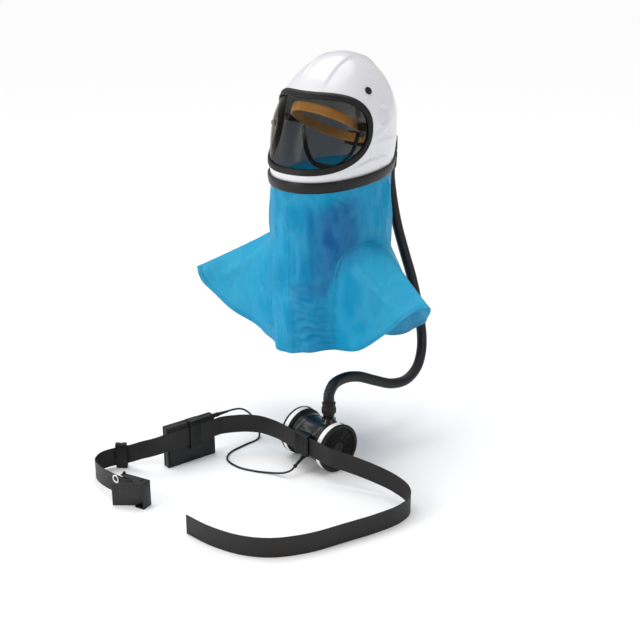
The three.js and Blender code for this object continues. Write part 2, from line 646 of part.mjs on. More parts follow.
// Rear air duct: a shallow box on the shell's outside, closed on itself, with the socket under it
{
  const half = Math.asin(DUCT.halfWidth / SHELL_HALF_WIDTH);
  const steps = 6;
  const rows = 5;
  const skinDuct = thickGrid(steps, rows, (i, j, side) => {
    const theta = Math.PI - lerp(-half, half, i / steps);
    const z = lerp(DUCT.topZ, DUCT.bottomZ, j / rows);
    const edge = Math.min(i, steps - i, 2) / 2;
    const end = Math.min(j, rows - j, 1);
    const out = side ? 0.9 : 0.9 + 3 + (DUCT.proud - 3) * edge ** 0.6 * (0.35 + 0.65 * end);
    return shellPoint(theta, z, -out);
  });
  const socket = moved(
    turned([[0, CUFF_TOP_Z], [16, CUFF_TOP_Z], [16, CUFF_TOP_Z + 40], [10, CUFF_TOP_Z + 52], [0, CUFF_TOP_Z + 52]], 16),
    shift(INLET.x, INLET.y, 0),
  );
  const bridge = block(INLET.x - 15, INLET.y - 48, DUCT.bottomZ + 1, INLET.x + 15, INLET.y, CUFF_TOP_Z + 46, 3, 1.5);
  const keepOut = skinRings(
    [-250, -215, -196, -170, -140, -98.5, -60, -20].map((z) => COLUMNS.map((theta) => shellPoint(theta, z, -0.9))),
    false,
  );
  add("air_duct", fromSolid(asSolid(skinDuct).add(asSolid(socket)).add(asSolid(bridge).subtract(asSolid(keepOut)))), "black");
}

// Cords: hand-chosen points, with an even walk along them
function evenPath(points, step) {
  const curve = new THREE.CatmullRomCurve3(points, false, "centripetal");
  const count = Math.max(2, Math.round(curve.getLength() / step));
  curve.arcLengthDivisions = 600;
  curve.updateArcLengths();
  return Array.from({ length: count + 1 }, (_, k) => [curve.getPointAt(k / count), curve.getTangentAt(k / count)]);
}
function cord(points, radius, sides, step) {
  let normal = V(0, 1, 0.2);
  return skinRings(
    evenPath(points, step).map(([p, t]) => {
      normal = normal.addScaledVector(t, -normal.dot(t)).normalize();
      const b = t.clone().cross(normal);
      return Array.from({ length: sides }, (_, k) => {
        const a = (2 * Math.PI * k) / sides;
        return p.clone().addScaledVector(normal, radius * Math.cos(a)).addScaledVector(b, radius * Math.sin(a));
      });
    }),
    false,
  );
}

// The hose's upper points are measured down from the cuff, its lower ones up from the ground.
const HOSE_POINTS = [
  ...[
    [25, 184.5, 0.3], [25, 184.5, 20], [33, 185.5, 74], [47, 187, 134], [66, 190, 194], [90, 193, 264], [110, 192, 334],
  ].map(([x, y, drop]) => [x, y, CUFF_BOTTOM_Z - drop]),
  ...[
    [126, 184, 198], [137, 167, 162], [144, 138, 132], [140, 100, 113], [128, 60, 114], [113, 12, 134], [103, -32, 155],
    [101, -72, 167], [106, -114, 174], [115, -149, 175], [120.6, -168.8, 162], [120.6, -168.8, 146.3],
  ].map(([x, y, lift]) => [x, y, GROUND_Z + lift]),
];
add("hose_cuff", turned([[0, CUFF_BOTTOM_Z], [HOSE_R + 2, CUFF_BOTTOM_Z], [HOSE_R + 4, CUFF_BOTTOM_Z + 20], [HOSE_R + 4, CUFF_TOP_Z - FIT_GAP], [0, CUFF_TOP_Z - FIT_GAP]], 18), "black", shift(INLET.x, INLET.y, 0));
add("hose", cord(HOSE_POINTS.map((p) => V(...p)), HOSE_R, 10, 3 * HOSE_R), "rubber");

// Blower with a neck for the hose, in its own frame: +X along the filters' axis
const blowerFrame = chain(shift(BLOWER.x, BLOWER.y, GROUND_Z + FILTER_R), turnZ(BLOWER.yaw));
const alongX = new THREE.Matrix4().makeRotationY(Math.PI / 2);
{
  const body = moved(
    turned([
      [0, -BODY_HALF], [BODY_R - 3, -BODY_HALF], [BODY_R, -BODY_HALF + 3], [BODY_R, -BODY_HALF * 0.5],
      [BODY_R - 1.5, -BODY_HALF * 0.5 + 1], [BODY_R - 1.5, BODY_HALF * 0.5 - 1], [BODY_R, BODY_HALF * 0.5],
      [BODY_R, BODY_HALF - 3], [BODY_R - 3, BODY_HALF], [0, BODY_HALF],
    ], 28),
    alongX,
  );
  const top = OUTLET_TOP - FILTER_R;
  const neck = moved(
    turned([[0, 20], [19, 20], [19, BODY_R - 4], [15, BODY_R + 4], [12.5, BODY_R + 8], [12.5, top], [0, top]], 20),
    shift(OUTLET.x, OUTLET.y, 0),
  );
  add("blower_body", fromSolid(asSolid(body).add(asSolid(neck))), "black", blowerFrame);
  add(
    "hose_coupling",
    turned([
      [0, top + FIT_GAP], [COUPLING_R - 1.5, top + FIT_GAP], [COUPLING_R, top + 3], [COUPLING_R, top + 13], [COUPLING_R - 1.2, top + 15],
      [COUPLING_R - 1.2, top + 22], [COUPLING_R - 0.2, COUPLING_TOP - FILTER_R - 2], [COUPLING_R - 2, COUPLING_TOP - FILTER_R], [0, COUPLING_TOP - FILTER_R],
    ], 18),
    "black",
    chain(blowerFrame, shift(OUTLET.x, OUTLET.y, 0)),
  );
}
for (const [side, sign] of [["left", 1], ["right", -1]]) {
  const face = FACE_HALF;
  const start = BODY_HALF + FIT_GAP;
  const profile = [
    [0, start], [BODY_R - 3, start], [FILTER_R - 3.5, start + 3], [FILTER_R - 1, start + 6], [FILTER_R - 1, face - 6],
    [FILTER_R, face - 5], [FILTER_R, face - 1], [FILTER_R - 1.5, face], [FILTER_R - 8, face], [FILTER_R - 10, face - 4],
    [FILTER_R * 0.3, face - 4], [FILTER_R * 0.24, face - 2.5], [0, face - 2.5],
  ];
  const place = chain(blowerFrame, sign > 0 ? alongX : new THREE.Matrix4().makeRotationY(-Math.PI / 2));
  add(`filter_${side}`, turned(profile, 24), "black", place);
  const rings = [];
  for (let k = 0; k <= 10; k++) {
    const a = rad(15 * k - 195);
    const at = (r, x) => V(sign * x, r * Math.sin(a), -r * Math.cos(a));
    const r0 = FILTER_R - 1 + FIT_GAP;
    rings.push([at(r0, face - 18), at(r0, face - 6.4), at(r0 + 0.6, face - 6.4), at(r0 + 0.6, face - 18)]);
  }
  add(`filter_label_${side}`, skinRings(rings, false), "label", blowerFrame);
}

// Clip that hooks the blower on the belt: a bent plate over the belt's upper edge
const beltY = -(FILTER_R + FIT_GAP + BELT_THICK / 2 + 0.2);
{
  const inY = beltY + BELT_THICK / 2 + FIT_GAP;
  const outY = beltY - BELT_THICK / 2 - FIT_GAP;
  const beltTop = CLIP_LIFT + BELT_WIDTH - FILTER_R + FIT_GAP;
  const hook = [
    [-BODY_R - FIT_GAP, CLIP_LOW], [-BODY_R - FIT_GAP, beltTop + 4], [outY - 3, beltTop + 4], [outY - 4.5, beltTop + 2.5],
    [outY - 4.5, CLIP_LOW], [outY, CLIP_LOW], [outY, beltTop], [inY, beltTop], [inY, CLIP_LOW],
  ];
  const shape = new THREE.Shape(hook.map(([y, z]) => new THREE.Vector2(y, z)));
  const geometry = new THREE.ExtrudeGeometry(shape, { depth: CLIP_WIDTH, bevelEnabled: false });
  const skin = new Skin();
  const flat = geometry.attributes.position;
  for (let k = 0; k < flat.count; k += 3)
    skin.tri(...[0, 1, 2].map((m) => V(flat.getZ(k + m) + CLIP_START, flat.getX(k + m), flat.getY(k + m))));
  add("blower_clip", skin.geometry(), "black", blowerFrame);
}

// Belt: the strap stands on edge and follows its plan, lifted by the blower and the battery
const blowerSpot = (x) => V(x, beltY, 0).applyMatrix4(blowerFrame);
const batteryFrame = chain(shift(BATTERY.x, BATTERY.y, GROUND_Z), turnZ(BATTERY.yaw));
const batterySide = -(FIT_GAP + BELT_THICK / 2);
const batterySpot = (x) => V(x, batterySide, 0).applyMatrix4(batteryFrame);
const BELT_PLAN = [
  [86, -577, 0], [151, -581, 0], [218, -571, 0], [271, -543, 0], [316, -487, 0], [350, -410, 0], [376, -345, 0],
  [390, -290, 0], [385, -245, 0], [362, -219, 5], [325, -213, 14], [280, -219, 24], [225, -233, 35],
  [blowerSpot(98).x, blowerSpot(98).y, CLIP_LIFT], [blowerSpot(80).x, blowerSpot(80).y, CLIP_LIFT], [blowerSpot(40).x, blowerSpot(40).y, CLIP_LIFT],
  [blowerSpot(0).x, blowerSpot(0).y, CLIP_LIFT], [blowerSpot(-40).x, blowerSpot(-40).y, CLIP_LIFT],
  [blowerSpot(-80).x, blowerSpot(-80).y, CLIP_LIFT], [-40, -213.5, 42], [-70, -231, 42.5], [batterySpot(78).x, batterySpot(78).y, BATTERY_BELT_LIFT], [batterySpot(62).x, batterySpot(62).y, BATTERY_BELT_LIFT], [batterySpot(20).x, batterySpot(20).y, BATTERY_BELT_LIFT],
  [batterySpot(-20).x, batterySpot(-20).y, BATTERY_BELT_LIFT], [batterySpot(-62).x, batterySpot(-62).y, BATTERY_BELT_LIFT],
  [batterySpot(-76).x, batterySpot(-76).y, BATTERY_BELT_LIFT - 1], [-158, -432, 33], [-182, -440, 23], [-204, -451, 13], [-236, -477, 4], [-244, -500, 2], [-234, -525, 1], [-212, -540, 3], [-180, -552, 6],
  [-150, -557, 8],
];
const buckleFrame = chain(shift(BUCKLE.x, BUCKLE.y, GROUND_Z), turnZ(BUCKLE.yaw));
const strapInBuckle = (x) => V(x, -5, 0).applyMatrix4(buckleFrame);
for (const x of [-72, -50, -26]) BELT_PLAN.push([strapInBuckle(x).x, strapInBuckle(x).y, 8]);
const beltPath = evenPath(BELT_PLAN.map(([x, y, lift]) => V(x, y, GROUND_Z + lift)), 26);
add(
  "belt",
  skinRings(
    beltPath.map(([p, t]) => {
      const n = V(-t.y, t.x, 0).normalize().multiplyScalar(BELT_THICK / 2);
      const top = p.clone().setZ(p.z + BELT_WIDTH);
      return [p.clone().add(n), p.clone().sub(n), top.clone().sub(n), top.clone().add(n)];
    }),
    false,
  ),
  "strap",
);
function besideBelt(x, y) {
  const on = (s) => {
    const k = clamp(Math.floor(s), 0, beltPath.length - 2);
    return beltPath[k][0].clone().lerp(beltPath[k + 1][0], s - k);
  };
  let near = 0;
  const away = (s) => Math.hypot(on(s).x - x, on(s).y - y);
  for (let s = 0; s < beltPath.length - 1; s += 0.05) if (away(s) < away(near)) near = s;
  return [on(near), on(near + 0.5).sub(on(near - 0.5))];
}

// Battery with its clip over the belt
add("battery_case", block(-BATTERY.length / 2, 0, 0, BATTERY.length / 2, BATTERY.thick, BATTERY.height, 2.5, 1.5), "black", batteryFrame);
{
  const beltTop = BATTERY_BELT_LIFT + BELT_WIDTH + FIT_GAP;
  const outer = -(2 * FIT_GAP + BELT_THICK);
  const front = block(-6, outer - 4, 30, 22, outer, BATTERY.height + 2.5, 1.5, 1);
  const top = block(-6, outer - 4, BATTERY.height + FIT_GAP, 22, 14, BATTERY.height + 3.2, 1, 0.5);
  const lip = block(-6, outer - 4, beltTop, 22, -FIT_GAP, BATTERY.height + 3, 1, 0.5);
  add("battery_clip", fromSolid(asSolid(front).add(asSolid(top)).add(asSolid(lip))), "black", batteryFrame);
}
add("battery_plug", turned([[0, 0], [5, 0], [5, 14], [3.6, 18], [2.8, 38], [0, 38]], 10), "black",
  chain(batteryFrame, shift(BATTERY.length / 2 + FIT_GAP, 5, BATTERY.height - 5), alongX));

// Keeper round the belt near the left bend
{
  const [p, t] = besideBelt(-221, -463);
  const frame = chain(shift(p.x, p.y, p.z), turnZ(THREE.MathUtils.radToDeg(Math.atan2(t.y, t.x))));
  const outside = block(-12, -6.7, -8, 12, 6.7, BELT_WIDTH + 9, 4, 3);
  const inside = block(-14, -BELT_THICK / 2 - 2.6, -3.2, 14, BELT_THICK / 2 + 2.6, BELT_WIDTH + 3.2, 0.4, 0);
  add("belt_keeper", fromSolid(asSolid(outside).subtract(asSolid(inside))), "black", frame);
}

// Eyelet on the strap beside the buckle
{
  const [p, t] = besideBelt(-132, -560);
  const frame = chain(shift(p.x, p.y, p.z + BELT_WIDTH * 0.78), turnZ(THREE.MathUtils.radToDeg(Math.atan2(t.y, t.x))), new THREE.Matrix4().makeRotationX(Math.PI / 2));
  const z = BELT_THICK / 2 + FIT_GAP;
  add("belt_eyelet", turned([[5.5, z], [9.5, z], [9.5, z + 1.2], [5.5, z + 1.2]], 18), "steel", frame);
}

// Buckle: a channel with wedge-shaped cheeks, its post, the flap's pin and the flap standing open
{
  const { length, height, depth } = BUCKLE;
  const plate = block(-length + 8, 0, 0, 0, 2, height, 0.8, 0.4);
  const cheek = [[0, 2], [-length, 2], [-length, -8], [-length * 0.5, -12], [-20, -depth], [0, -depth]];
  const wall = block(-2, -depth, 0, 0, 1, height, 0.8, 0.4);
  const post = moved(turned([[0, 0], [3.4, 0], [3.4, height + 3], [2.4, height + 4], [0, height + 4]], 12), shift(4 - length, 0, 0));
  const parts = [prism(cheek, 0, 2.2), prism(cheek, height - 2.2, height), wall, post];
  add("buckle_frame", fromSolid(parts.reduce((s, g) => s.add(asSolid(g)), asSolid(plate))), "black", buckleFrame);
  const ends = 2.2 + FIT_GAP;
  add("buckle_pin", turned([[0, ends], [PIN_R, ends], [PIN_R, height - ends], [0, height - ends]], 12), "black", chain(buckleFrame, shift(PIN.x, PIN.y, 0)));
}
const flapFrame = chain(buckleFrame, shift(PIN.x, PIN.y, 0), turnZ(BUCKLE.open));
{
  const low = 2.2 + 2 * FIT_GAP;
  const high = BUCKLE.height - low;
  const bore = PIN_R + FIT_GAP;
  const barrel = turned([[bore, low], [bore + 2.2, low], [bore + 2.2, high], [bore, high]], 16);
  const plate = block(-FLAP.beyond, -FLAP.offset - 1.1, low, FLAP.before, -FLAP.offset + 1.1, high, 0.9, 0.4);
  const web = block(-2.5, -FLAP.offset, low, 2.5, -bore - 0.6, high, 0.5, 0);
  const hole = turned([[0, 0], [bore, 0], [bore, BUCKLE.height], [0, BUCKLE.height]], 16);
  add("buckle_flap", fromSolid(asSolid(barrel).add(asSolid(plate)).add(asSolid(web)).subtract(asSolid(hole))), "black", flapFrame);
}

// Cable from the battery to the blower: each point's lift is measured from the ground
const CABLE_POINTS = [
  [-102.77, -248.55, 90], [-99.55, -235.3, 90], [-97, -209, 83], [-97, -182, 62], [-97, -161, 32], [-90, -158, 10],
  [-78, -176, 2.4], [-80, -220, 2.2], [-80, -268, 2.2], [-62, -298, 2.2], [-19, -310, 2.2], [21, -302, 2.2],
  [60, -287, 4], [84, -282, 9.5], [96.5, -275.5, 15], [99.9, -268.5, 18.5], [99.6, -261.6, 21.1],
].map(([x, y, lift]) => [x, y, GROUND_Z + lift]);
add("cable", cord(CABLE_POINTS.map((p) => V(...p)), CABLE_R, 8, 7 * CABLE_R), "rubber");

// Plug under the blower's clip, its relief running down to the cable's end
{
  const from = V(98.5, -222.6, GROUND_Z + 35.6);
  const to = V(...CABLE_POINTS[CABLE_POINTS.length - 1]);
  const run = to.clone().sub(from);
  const long = run.length() - FIT_GAP;
  const q = new THREE.Quaternion().setFromUnitVectors(V(0, 0, 1), run.normalize());
  add("blower_plug", turned([[0, 0], [5.4, 0], [5.4, 9], [4.2, 11], [2.8, long - 5], [4.4, long - 4], [4.4, long], [0, long]], 10), "black",
    new THREE.Matrix4().compose(from, q, V(1, 1, 1)));
}

export default group;
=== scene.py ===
"""Looks of the powered respirator helmet: shell, visor, shroud, hose, belt blower, battery and belt."""

import math

import bmesh
import bpy
import numpy as np
from mathutils import Matrix, Vector


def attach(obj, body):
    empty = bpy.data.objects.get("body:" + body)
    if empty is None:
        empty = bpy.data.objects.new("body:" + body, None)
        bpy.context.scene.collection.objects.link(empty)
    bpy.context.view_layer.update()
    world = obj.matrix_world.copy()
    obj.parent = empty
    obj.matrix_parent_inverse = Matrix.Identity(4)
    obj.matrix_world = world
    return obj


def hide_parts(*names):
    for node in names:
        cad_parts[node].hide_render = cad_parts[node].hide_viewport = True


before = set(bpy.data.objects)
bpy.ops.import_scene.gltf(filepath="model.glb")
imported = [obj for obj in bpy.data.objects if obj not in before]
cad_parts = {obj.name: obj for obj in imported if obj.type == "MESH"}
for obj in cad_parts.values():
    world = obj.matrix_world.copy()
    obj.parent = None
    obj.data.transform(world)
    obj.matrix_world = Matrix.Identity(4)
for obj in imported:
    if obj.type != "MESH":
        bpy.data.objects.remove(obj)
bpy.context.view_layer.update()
MM = 0.001


# Camera and light: the camera stands where the photograph was taken.
CAMERA_PLACE, CAMERA_LENS, CAMERA_TILT, CAMERA_TURN = (1.4861, -1.9476, 0.3380), 63.96, 70, 38
SKY_STRENGTH, SUN_STRENGTH, SUN_SPREAD, SUN_HEADING = 0.5, 1.75, 60, (0.3, -0.15, -1)
LAMPS = [
    # name, place, aim, width, height, watts
    ("key_box", (-0.9, -2.4, 0.5), (0, 0, -0.15), 0.7, 1.5, 25),
    ("side_box", (2.6, -0.4, 1.0), (0, 0, -0.3), 0.6, 1.9, 11),
    ("strip_box", (-1.9, -1.0, 0.4), (0, -0.1, -0.2), 0.3, 1.9, 6),
]


def stand(name, data, place=(0, 0, 0), turn=(0, 0, 0)):
    made = bpy.data.objects.new(name, data)
    made.location, made.rotation_euler = place, turn
    bpy.context.collection.objects.link(made)
    return made


def towards(heading):
    return Vector(heading).to_track_quat("-Z", "Y").to_euler()


def studio():
    lens = bpy.data.cameras.new("photo_camera")
    lens.lens, lens.sensor_width, lens.clip_end = CAMERA_LENS, 36, 100
    turn = math.radians(CAMERA_TILT), 0, math.radians(CAMERA_TURN)
    bpy.context.scene.camera = stand("photo_camera", lens, CAMERA_PLACE, turn)
    world = bpy.data.worlds.new("soft_room")
    world.use_nodes = True
    sky = world.node_tree.nodes["Background"]
    sky.inputs["Color"].default_value = (1, 1, 1, 1)
    sky.inputs["Strength"].default_value = SKY_STRENGTH
    bpy.context.scene.world = world
    bpy.context.scene.view_settings.view_transform = "Standard"
    sun = bpy.data.lights.new("ceiling_light", "SUN")
    sun.energy, sun.angle = SUN_STRENGTH, math.radians(SUN_SPREAD)
    stand("ceiling_light", sun, turn=towards(SUN_HEADING))
    for name, place, aim, width, height, watts in LAMPS:
        lamp = bpy.data.lights.new(name, "AREA")
        lamp.shape, lamp.size, lamp.size_y, lamp.energy = "RECTANGLE", width, height, watts
        stand(name, lamp, place, towards(Vector(aim) - Vector(place)))


# Materials: what varies over a surface is worked out with Value and Finish.

class Value:
    """A number socket of a material that takes part in Python arithmetic."""

    def __init__(self, finish, socket):
        self.finish, self.socket = finish, socket

    def math(self, operation, *values):
        return self.finish.number("ShaderNodeMath", {"operation": operation}, dict(enumerate(values)))

    def __add__(self, other):
        return self.math("ADD", self, other)

    def __sub__(self, other):
        return self.math("SUBTRACT", self, other)

    def __rsub__(self, other):
        return self.math("SUBTRACT", other, self)

    def __mul__(self, other):
        return self.math("MULTIPLY", self, other)

    def __pow__(self, other):
        return self.math("POWER", self, other)

    __radd__, __rmul__ = __add__, __mul__

    def wave(self):
        return self.math("SINE", self)

    def size(self):
        return self.math("ABSOLUTE", self)

    def at_most(self, limit):
        return self.math("MINIMUM", self, limit)

    def between(self, low, high):
        return self.finish.number("ShaderNodeMapRange", {"interpolation_type": "SMOOTHSTEP"},
                                  {"Value": self, "From Min": low, "From Max": high})


def tone(code):
    """Linear colour of a six-digit screen colour."""
    parts = [int(code[i:i + 2], 16) / 255 for i in (0, 2, 4)]
    return tuple(c / 12.92 if c <= 0.04045 else ((c + 0.055) / 1.055) ** 2.4 for c in parts) + (1.0,)


class Finish:
    """A procedural material: one Principled shader with what varies over the surface."""

    def __init__(self, name, colour, roughness, **fixed):
        self.material = bpy.data.materials.new(name)
        self.material.use_nodes = True
        self.tree = self.material.node_tree
        self.shader = self.tree.nodes["Principled BSDF"]
        self.put("Base Color", colour)
        self.put("Roughness", roughness)
        for socket, value in fixed.items():
            self.put(socket.replace("_", " "), value)
        self.places = self.node("ShaderNodeTexCoord").outputs["Object"]

    def put(self, socket, value):
        self.feed(self.shader.inputs[socket], value)

    def feed(self, socket, value):
        if isinstance(value, Value):
            value = value.socket
        if isinstance(value, bpy.types.NodeSocket):
            self.tree.links.new(value, socket)
        else:
            socket.default_value = value

    def node(self, kind, settings=None, inputs=None):
        made = self.tree.nodes.new(kind)
        for key, value in (settings or {}).items():
            setattr(made, key, value)
        for key, value in (inputs or {}).items():
            self.feed(made.inputs[key], value)
        return made

    def number(self, kind, settings=None, inputs=None):
        return Value(self, self.node(kind, settings, inputs).outputs[0])

    def axis(self, name, source=None):
        return Value(self, self.node("ShaderNodeSeparateXYZ", None, {0: source or self.places}).outputs[name])

    def stretched(self, x, y, z):
        return self.node("ShaderNodeVectorMath", {"operation": "MULTIPLY"},
                         {0: self.places, 1: (x, y, z)}).outputs[0]

    def noise(self, scale, detail=3.0, rough=0.5, vector=None):
        return self.number("ShaderNodeTexNoise", None, {
            "Vector": vector or self.places, "Scale": scale, "Detail": detail, "Roughness": rough})

    def cells(self, scale):
        return self.number("ShaderNodeTexVoronoi", None, {"Vector": self.places, "Scale": scale})

    def kept(self, name):
        """A value stored on the mesh."""
        return Value(self, self.node("ShaderNodeAttribute", {"attribute_name": name}).outputs["Fac"])

    def mix(self, share, first, second):
        made = self.node("ShaderNodeMix", {"data_type": "RGBA"})
        for socket, value in ((made.inputs[0], share), (made.inputs[6], first), (made.inputs[7], second)):
            self.feed(socket, value)
        return made.outputs[2]

    def wear(self, value, first, second, rough, spread, span=None):
        """Colours and roughens the surface by one value."""
        share = value.between(*span) if span else value
        self.put("Base Color", self.mix(share, tone(first), tone(second)))
        self.put("Roughness", rough + value * spread)

    def blend(self, share, first, second):
        """Shows two shaders at once, the second one by share."""
        both = self.node("ShaderNodeMixShader", None, {0: share, 1: first.outputs[0], 2: second.outputs[0]})
        self.feed(self.tree.nodes["Material Output"].inputs["Surface"], both.outputs[0])

    def relief(self, height, depth, strength=1.0):
        bump = self.node("ShaderNodeBump", None, {"Height": height, "Distance": depth, "Strength": strength})
        self.put("Normal", bump.outputs[0])


def shell_finish():
    white = Finish("shell_white", tone("ececee"), 0.28, Coat_Weight=0.5, Coat_Roughness=0.12, IOR=1.5)
    cloud = white.noise(14, 4)
    white.put("Base Color", white.mix(cloud * 0.7, tone("e1e1e5"), tone("d0d0d6")))
    white.put("Roughness", 0.24 + white.noise(60, 5) * 0.12)
    white.relief(white.noise(420, 2) + white.noise(30, 2) * 0.6, 0.00004)
    return white


def moulded(name, dark="0d0d0e", light="1a1a1c", rough=0.42, grain=2600.0, depth=0.00006, **fixed):
    """Black moulding with a fine spark grain and rubbed places."""
    made = Finish(name, tone(dark), rough, Specular_IOR_Level=0.3, **fixed)
    rubbed = made.noise(55, 5, 0.6)
    made.put("Base Color", made.mix(rubbed.between(0.4, 0.75), tone(dark), tone(light)))
    made.put("Roughness", rough - 0.08 + made.noise(120, 4) * 0.18)
    made.relief(made.noise(grain, 2) + made.cells(grain * 0.5) * 0.5, depth)
    return made


def webbing_finish(name, rib=0.0011, light="221e1d", dark="100e0d"):
    """Smooth woven webbing: fine cross ribs, a soft sheen and paler rubbed edges."""
    web = Finish(name, tone("1a1716"), 0.5, Specular_IOR_Level=0.35)
    ribs = (web.kept("run") * (2 * math.pi / rib)).wave()
    sides = (web.kept("across") * (2 * math.pi / 0.0022)).wave()
    edge = web.kept("across").size().between(0.0165, 0.021)
    worn = web.noise(38, 5, 0.6)
    web.put("Base Color", web.mix(worn * 0.75 + edge * 0.3, tone(dark), tone(light)))
    web.put("Roughness", 0.4 + worn * 0.16 + ribs * 0.03)
    web.relief(ribs + sides * 0.4 + edge * 0.8, 0.00007)
    return web


def cloth_finish():
    """Thin coated nylon: light shines through it, darker where seams and hems double it."""
    blue = Finish("shroud_nylon", tone("1790d0"), 0.4, Specular_IOR_Level=0.22)
    double, shade, wing_light, gather = (blue.kept(name) for name in ("seam", "shade", "wing_light", "gather"))
    cloud = blue.noise(9, 4, 0.55)
    creases = blue.noise(15, 5, 0.55, blue.stretched(1, 1, 0.6))
    crinkle = ((creases - 0.5).size() * 9).at_most(1.0)
    slack = blue.noise(7, 3, 0.5, blue.stretched(1.2, 1.2, 0.5))
    swell = ((slack - 0.5).size() * 6).at_most(1.0)
    body = blue.mix(cloud.between(0.35, 0.7), tone("08a2cc"), tone("0eb0d8"))
    # Painted light: the side wings below the crease are painted a paler, greyer blue.
    body = blue.mix(wing_light * 0.55, body, tone("46c0dc"))
    # Painted shade: darker blue under the neck, on the front panel below the crease and in the hose's blurred
    # shadow.
    body = blue.mix((shade * (0.85 + cloud * 0.3)).at_most(1.0), body, tone("0a5f9e"))
    # Painted highlight: pale light-blue streaks along the crinkle lines.
    body = blue.mix((1 - crinkle) * (0.06 + slack * 0.26), body, tone("6fdcf6"))
    body = blue.mix(double * 0.6, body, tone("0779ac"))
    blue.put("Base Color", body)
    blue.put("Roughness", 0.3 + creases * 0.16 + double * 0.08)
    weave = (blue.axis("X") * 5200).wave() + (blue.axis("Z") * 5200).wave()
    puckers = (blue.axis("Z") * 1150 + blue.noise(30, 2) * 9).wave() * gather
    blue.relief(weave * 0.006 + crinkle * 0.34 + swell * 0.22 + creases * 0.3 + puckers * 0.1 + double * 0.15,
                0.0055)
    glow = blue.node("ShaderNodeBsdfTranslucent", None, {"Color": tone("14cdee")})
    blue.blend(0.42 - double * 0.24, blue.shader, glow)
    return blue


def visor_finish():
    """Smoke tinted sheet: dark see-through film under a clear gloss."""
    smoke = Finish("visor_smoke", tone("2a3238"), 0.05, IOR=1.55)
    haze = smoke.noise(8, 3)
    smoke.put("Roughness", 0.03 + haze * 0.05)
    smoke.put("Base Color", smoke.mix(haze, tone("0b0f12"), tone("1a2126")))
    smoke.relief(smoke.noise(6, 2), 0.0002, 0.25)
    clear = smoke.node("ShaderNodeBsdfTransparent", None, {"Color": (0.8, 0.77, 0.71, 1)})
    facing = Value(smoke, smoke.node("ShaderNodeLayerWeight", None, {"Blend": 0.5}).outputs["Facing"])
    smoke.blend((facing ** 4 * 0.85 + 0.06 + haze * 0.03).at_most(1.0), clear, smoke.shader)
    return smoke


def leather_finish():
    tan = Finish("sweatband_tan", tone("c08a4c"), 0.55, Sheen_Weight=0.15)
    cloud = tan.noise(40, 5, 0.6)
    tan.wear(cloud, "eba655", "ffca80", 0.45, 0.2, (0.3, 0.75))
    tan.relief(tan.cells(900) + cloud * 0.5, 0.00012)
    return tan


def hose_finish():
    rubber = Finish("hose_black", tone("0c0c0d"), 0.42, Specular_IOR_Level=0.35)
    dust = rubber.noise(70, 5, 0.6)
    rubber.wear(dust, "0a0a0b", "171719", 0.32, 0.2, (0.45, 0.8))
    rubber.relief(rubber.noise(1900, 3) + rubber.noise(200, 3) * 0.5, 0.00005)
    return rubber


def label_finish():
    film = Finish("label_film", tone("e8e8e4"), 0.45)
    specks = film.noise(160, 5, 0.65)
    film.wear(specks, "ededea", "c9c9c4", 0.38, 0.2, (0.5, 0.78))
    film.relief(film.noise(700, 2), 0.00003)
    return film


def steel_finish():
    steel = Finish("eyelet_steel", tone("c9ccd0"), 0.25, Metallic=1.0)
    scratches = steel.noise(300, 4, 0.6, steel.stretched(1, 1, 6))
    steel.wear(scratches, "b4b8bd", "dfe1e4", 0.18, 0.22)
    steel.relief(scratches, 0.00003)
    return steel


def inner_finish():
    grey = Finish("inner_grey", tone("a9acb0"), 0.5)
    cloud = grey.noise(70, 4)
    grey.wear(cloud, "9b9ea3", "babdc1", 0.42, 0.16)
    grey.relief(grey.noise(1500, 2), 0.00005)
    return grey


SHELL = shell_finish()
RUBBER = moulded("gasket_rubber", "060505", "0c0b0b", 0.5, 1800, 0.00008)
BAND = moulded("band_black", "050506", "0b0b0c", 0.36, 900, 0.00004)
BLACK = moulded("case_black")
SATIN = moulded("drum_black", "0c0c0d", "161618", 0.3, 3000, 0.00004, Coat_Weight=0.3, Coat_Roughness=0.12)
DEEP = moulded("grille_black", "080809", "111113", 0.5)
GREY = inner_finish()
VISOR = visor_finish()
CLOTH = cloth_finish()
TAN = leather_finish()
HOSE = hose_finish()
LABEL = label_finish()
STEEL = steel_finish()
BELT_WEB = webbing_finish("belt_webbing")
CHIN_WEB = webbing_finish("chin_webbing", 0.0016)


# Mesh helpers: millimetres in, metres out.

def piece(name, points, faces, finish, *stands_for, slot="black", body="respirator", sharp=35, values=None):
    """One closed piece that stands for the named solids, or is an addition when none is named."""
    mesh = bpy.data.meshes.new(name)
    mesh.from_pydata([tuple(p) for p in np.asarray(points, float) * MM], [],
                     [tuple(map(int, f)) for f in faces])
    for key, numbers in (values or {}).items():
        mesh.attributes.new(key, "FLOAT", "POINT").data.foreach_set("value",
                                                                    np.asarray(numbers, np.float32).ravel())
    work = bmesh.new()
    work.from_mesh(mesh)
    bmesh.ops.remove_doubles(work, verts=work.verts, dist=1e-6)
    bmesh.ops.delete(work, geom=[v for v in work.verts if not v.link_faces], context="VERTS")
    bmesh.ops.recalc_face_normals(work, faces=work.faces)
    work.to_mesh(mesh)
    work.free()
    mesh.shade_smooth()
    mesh.set_sharp_from_angle(angle=math.radians(sharp))
    mesh.materials.append(finish.material)
    made = stand(name, mesh)
    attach(made, body)
    if stands_for:
        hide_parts(*stands_for)
    return made


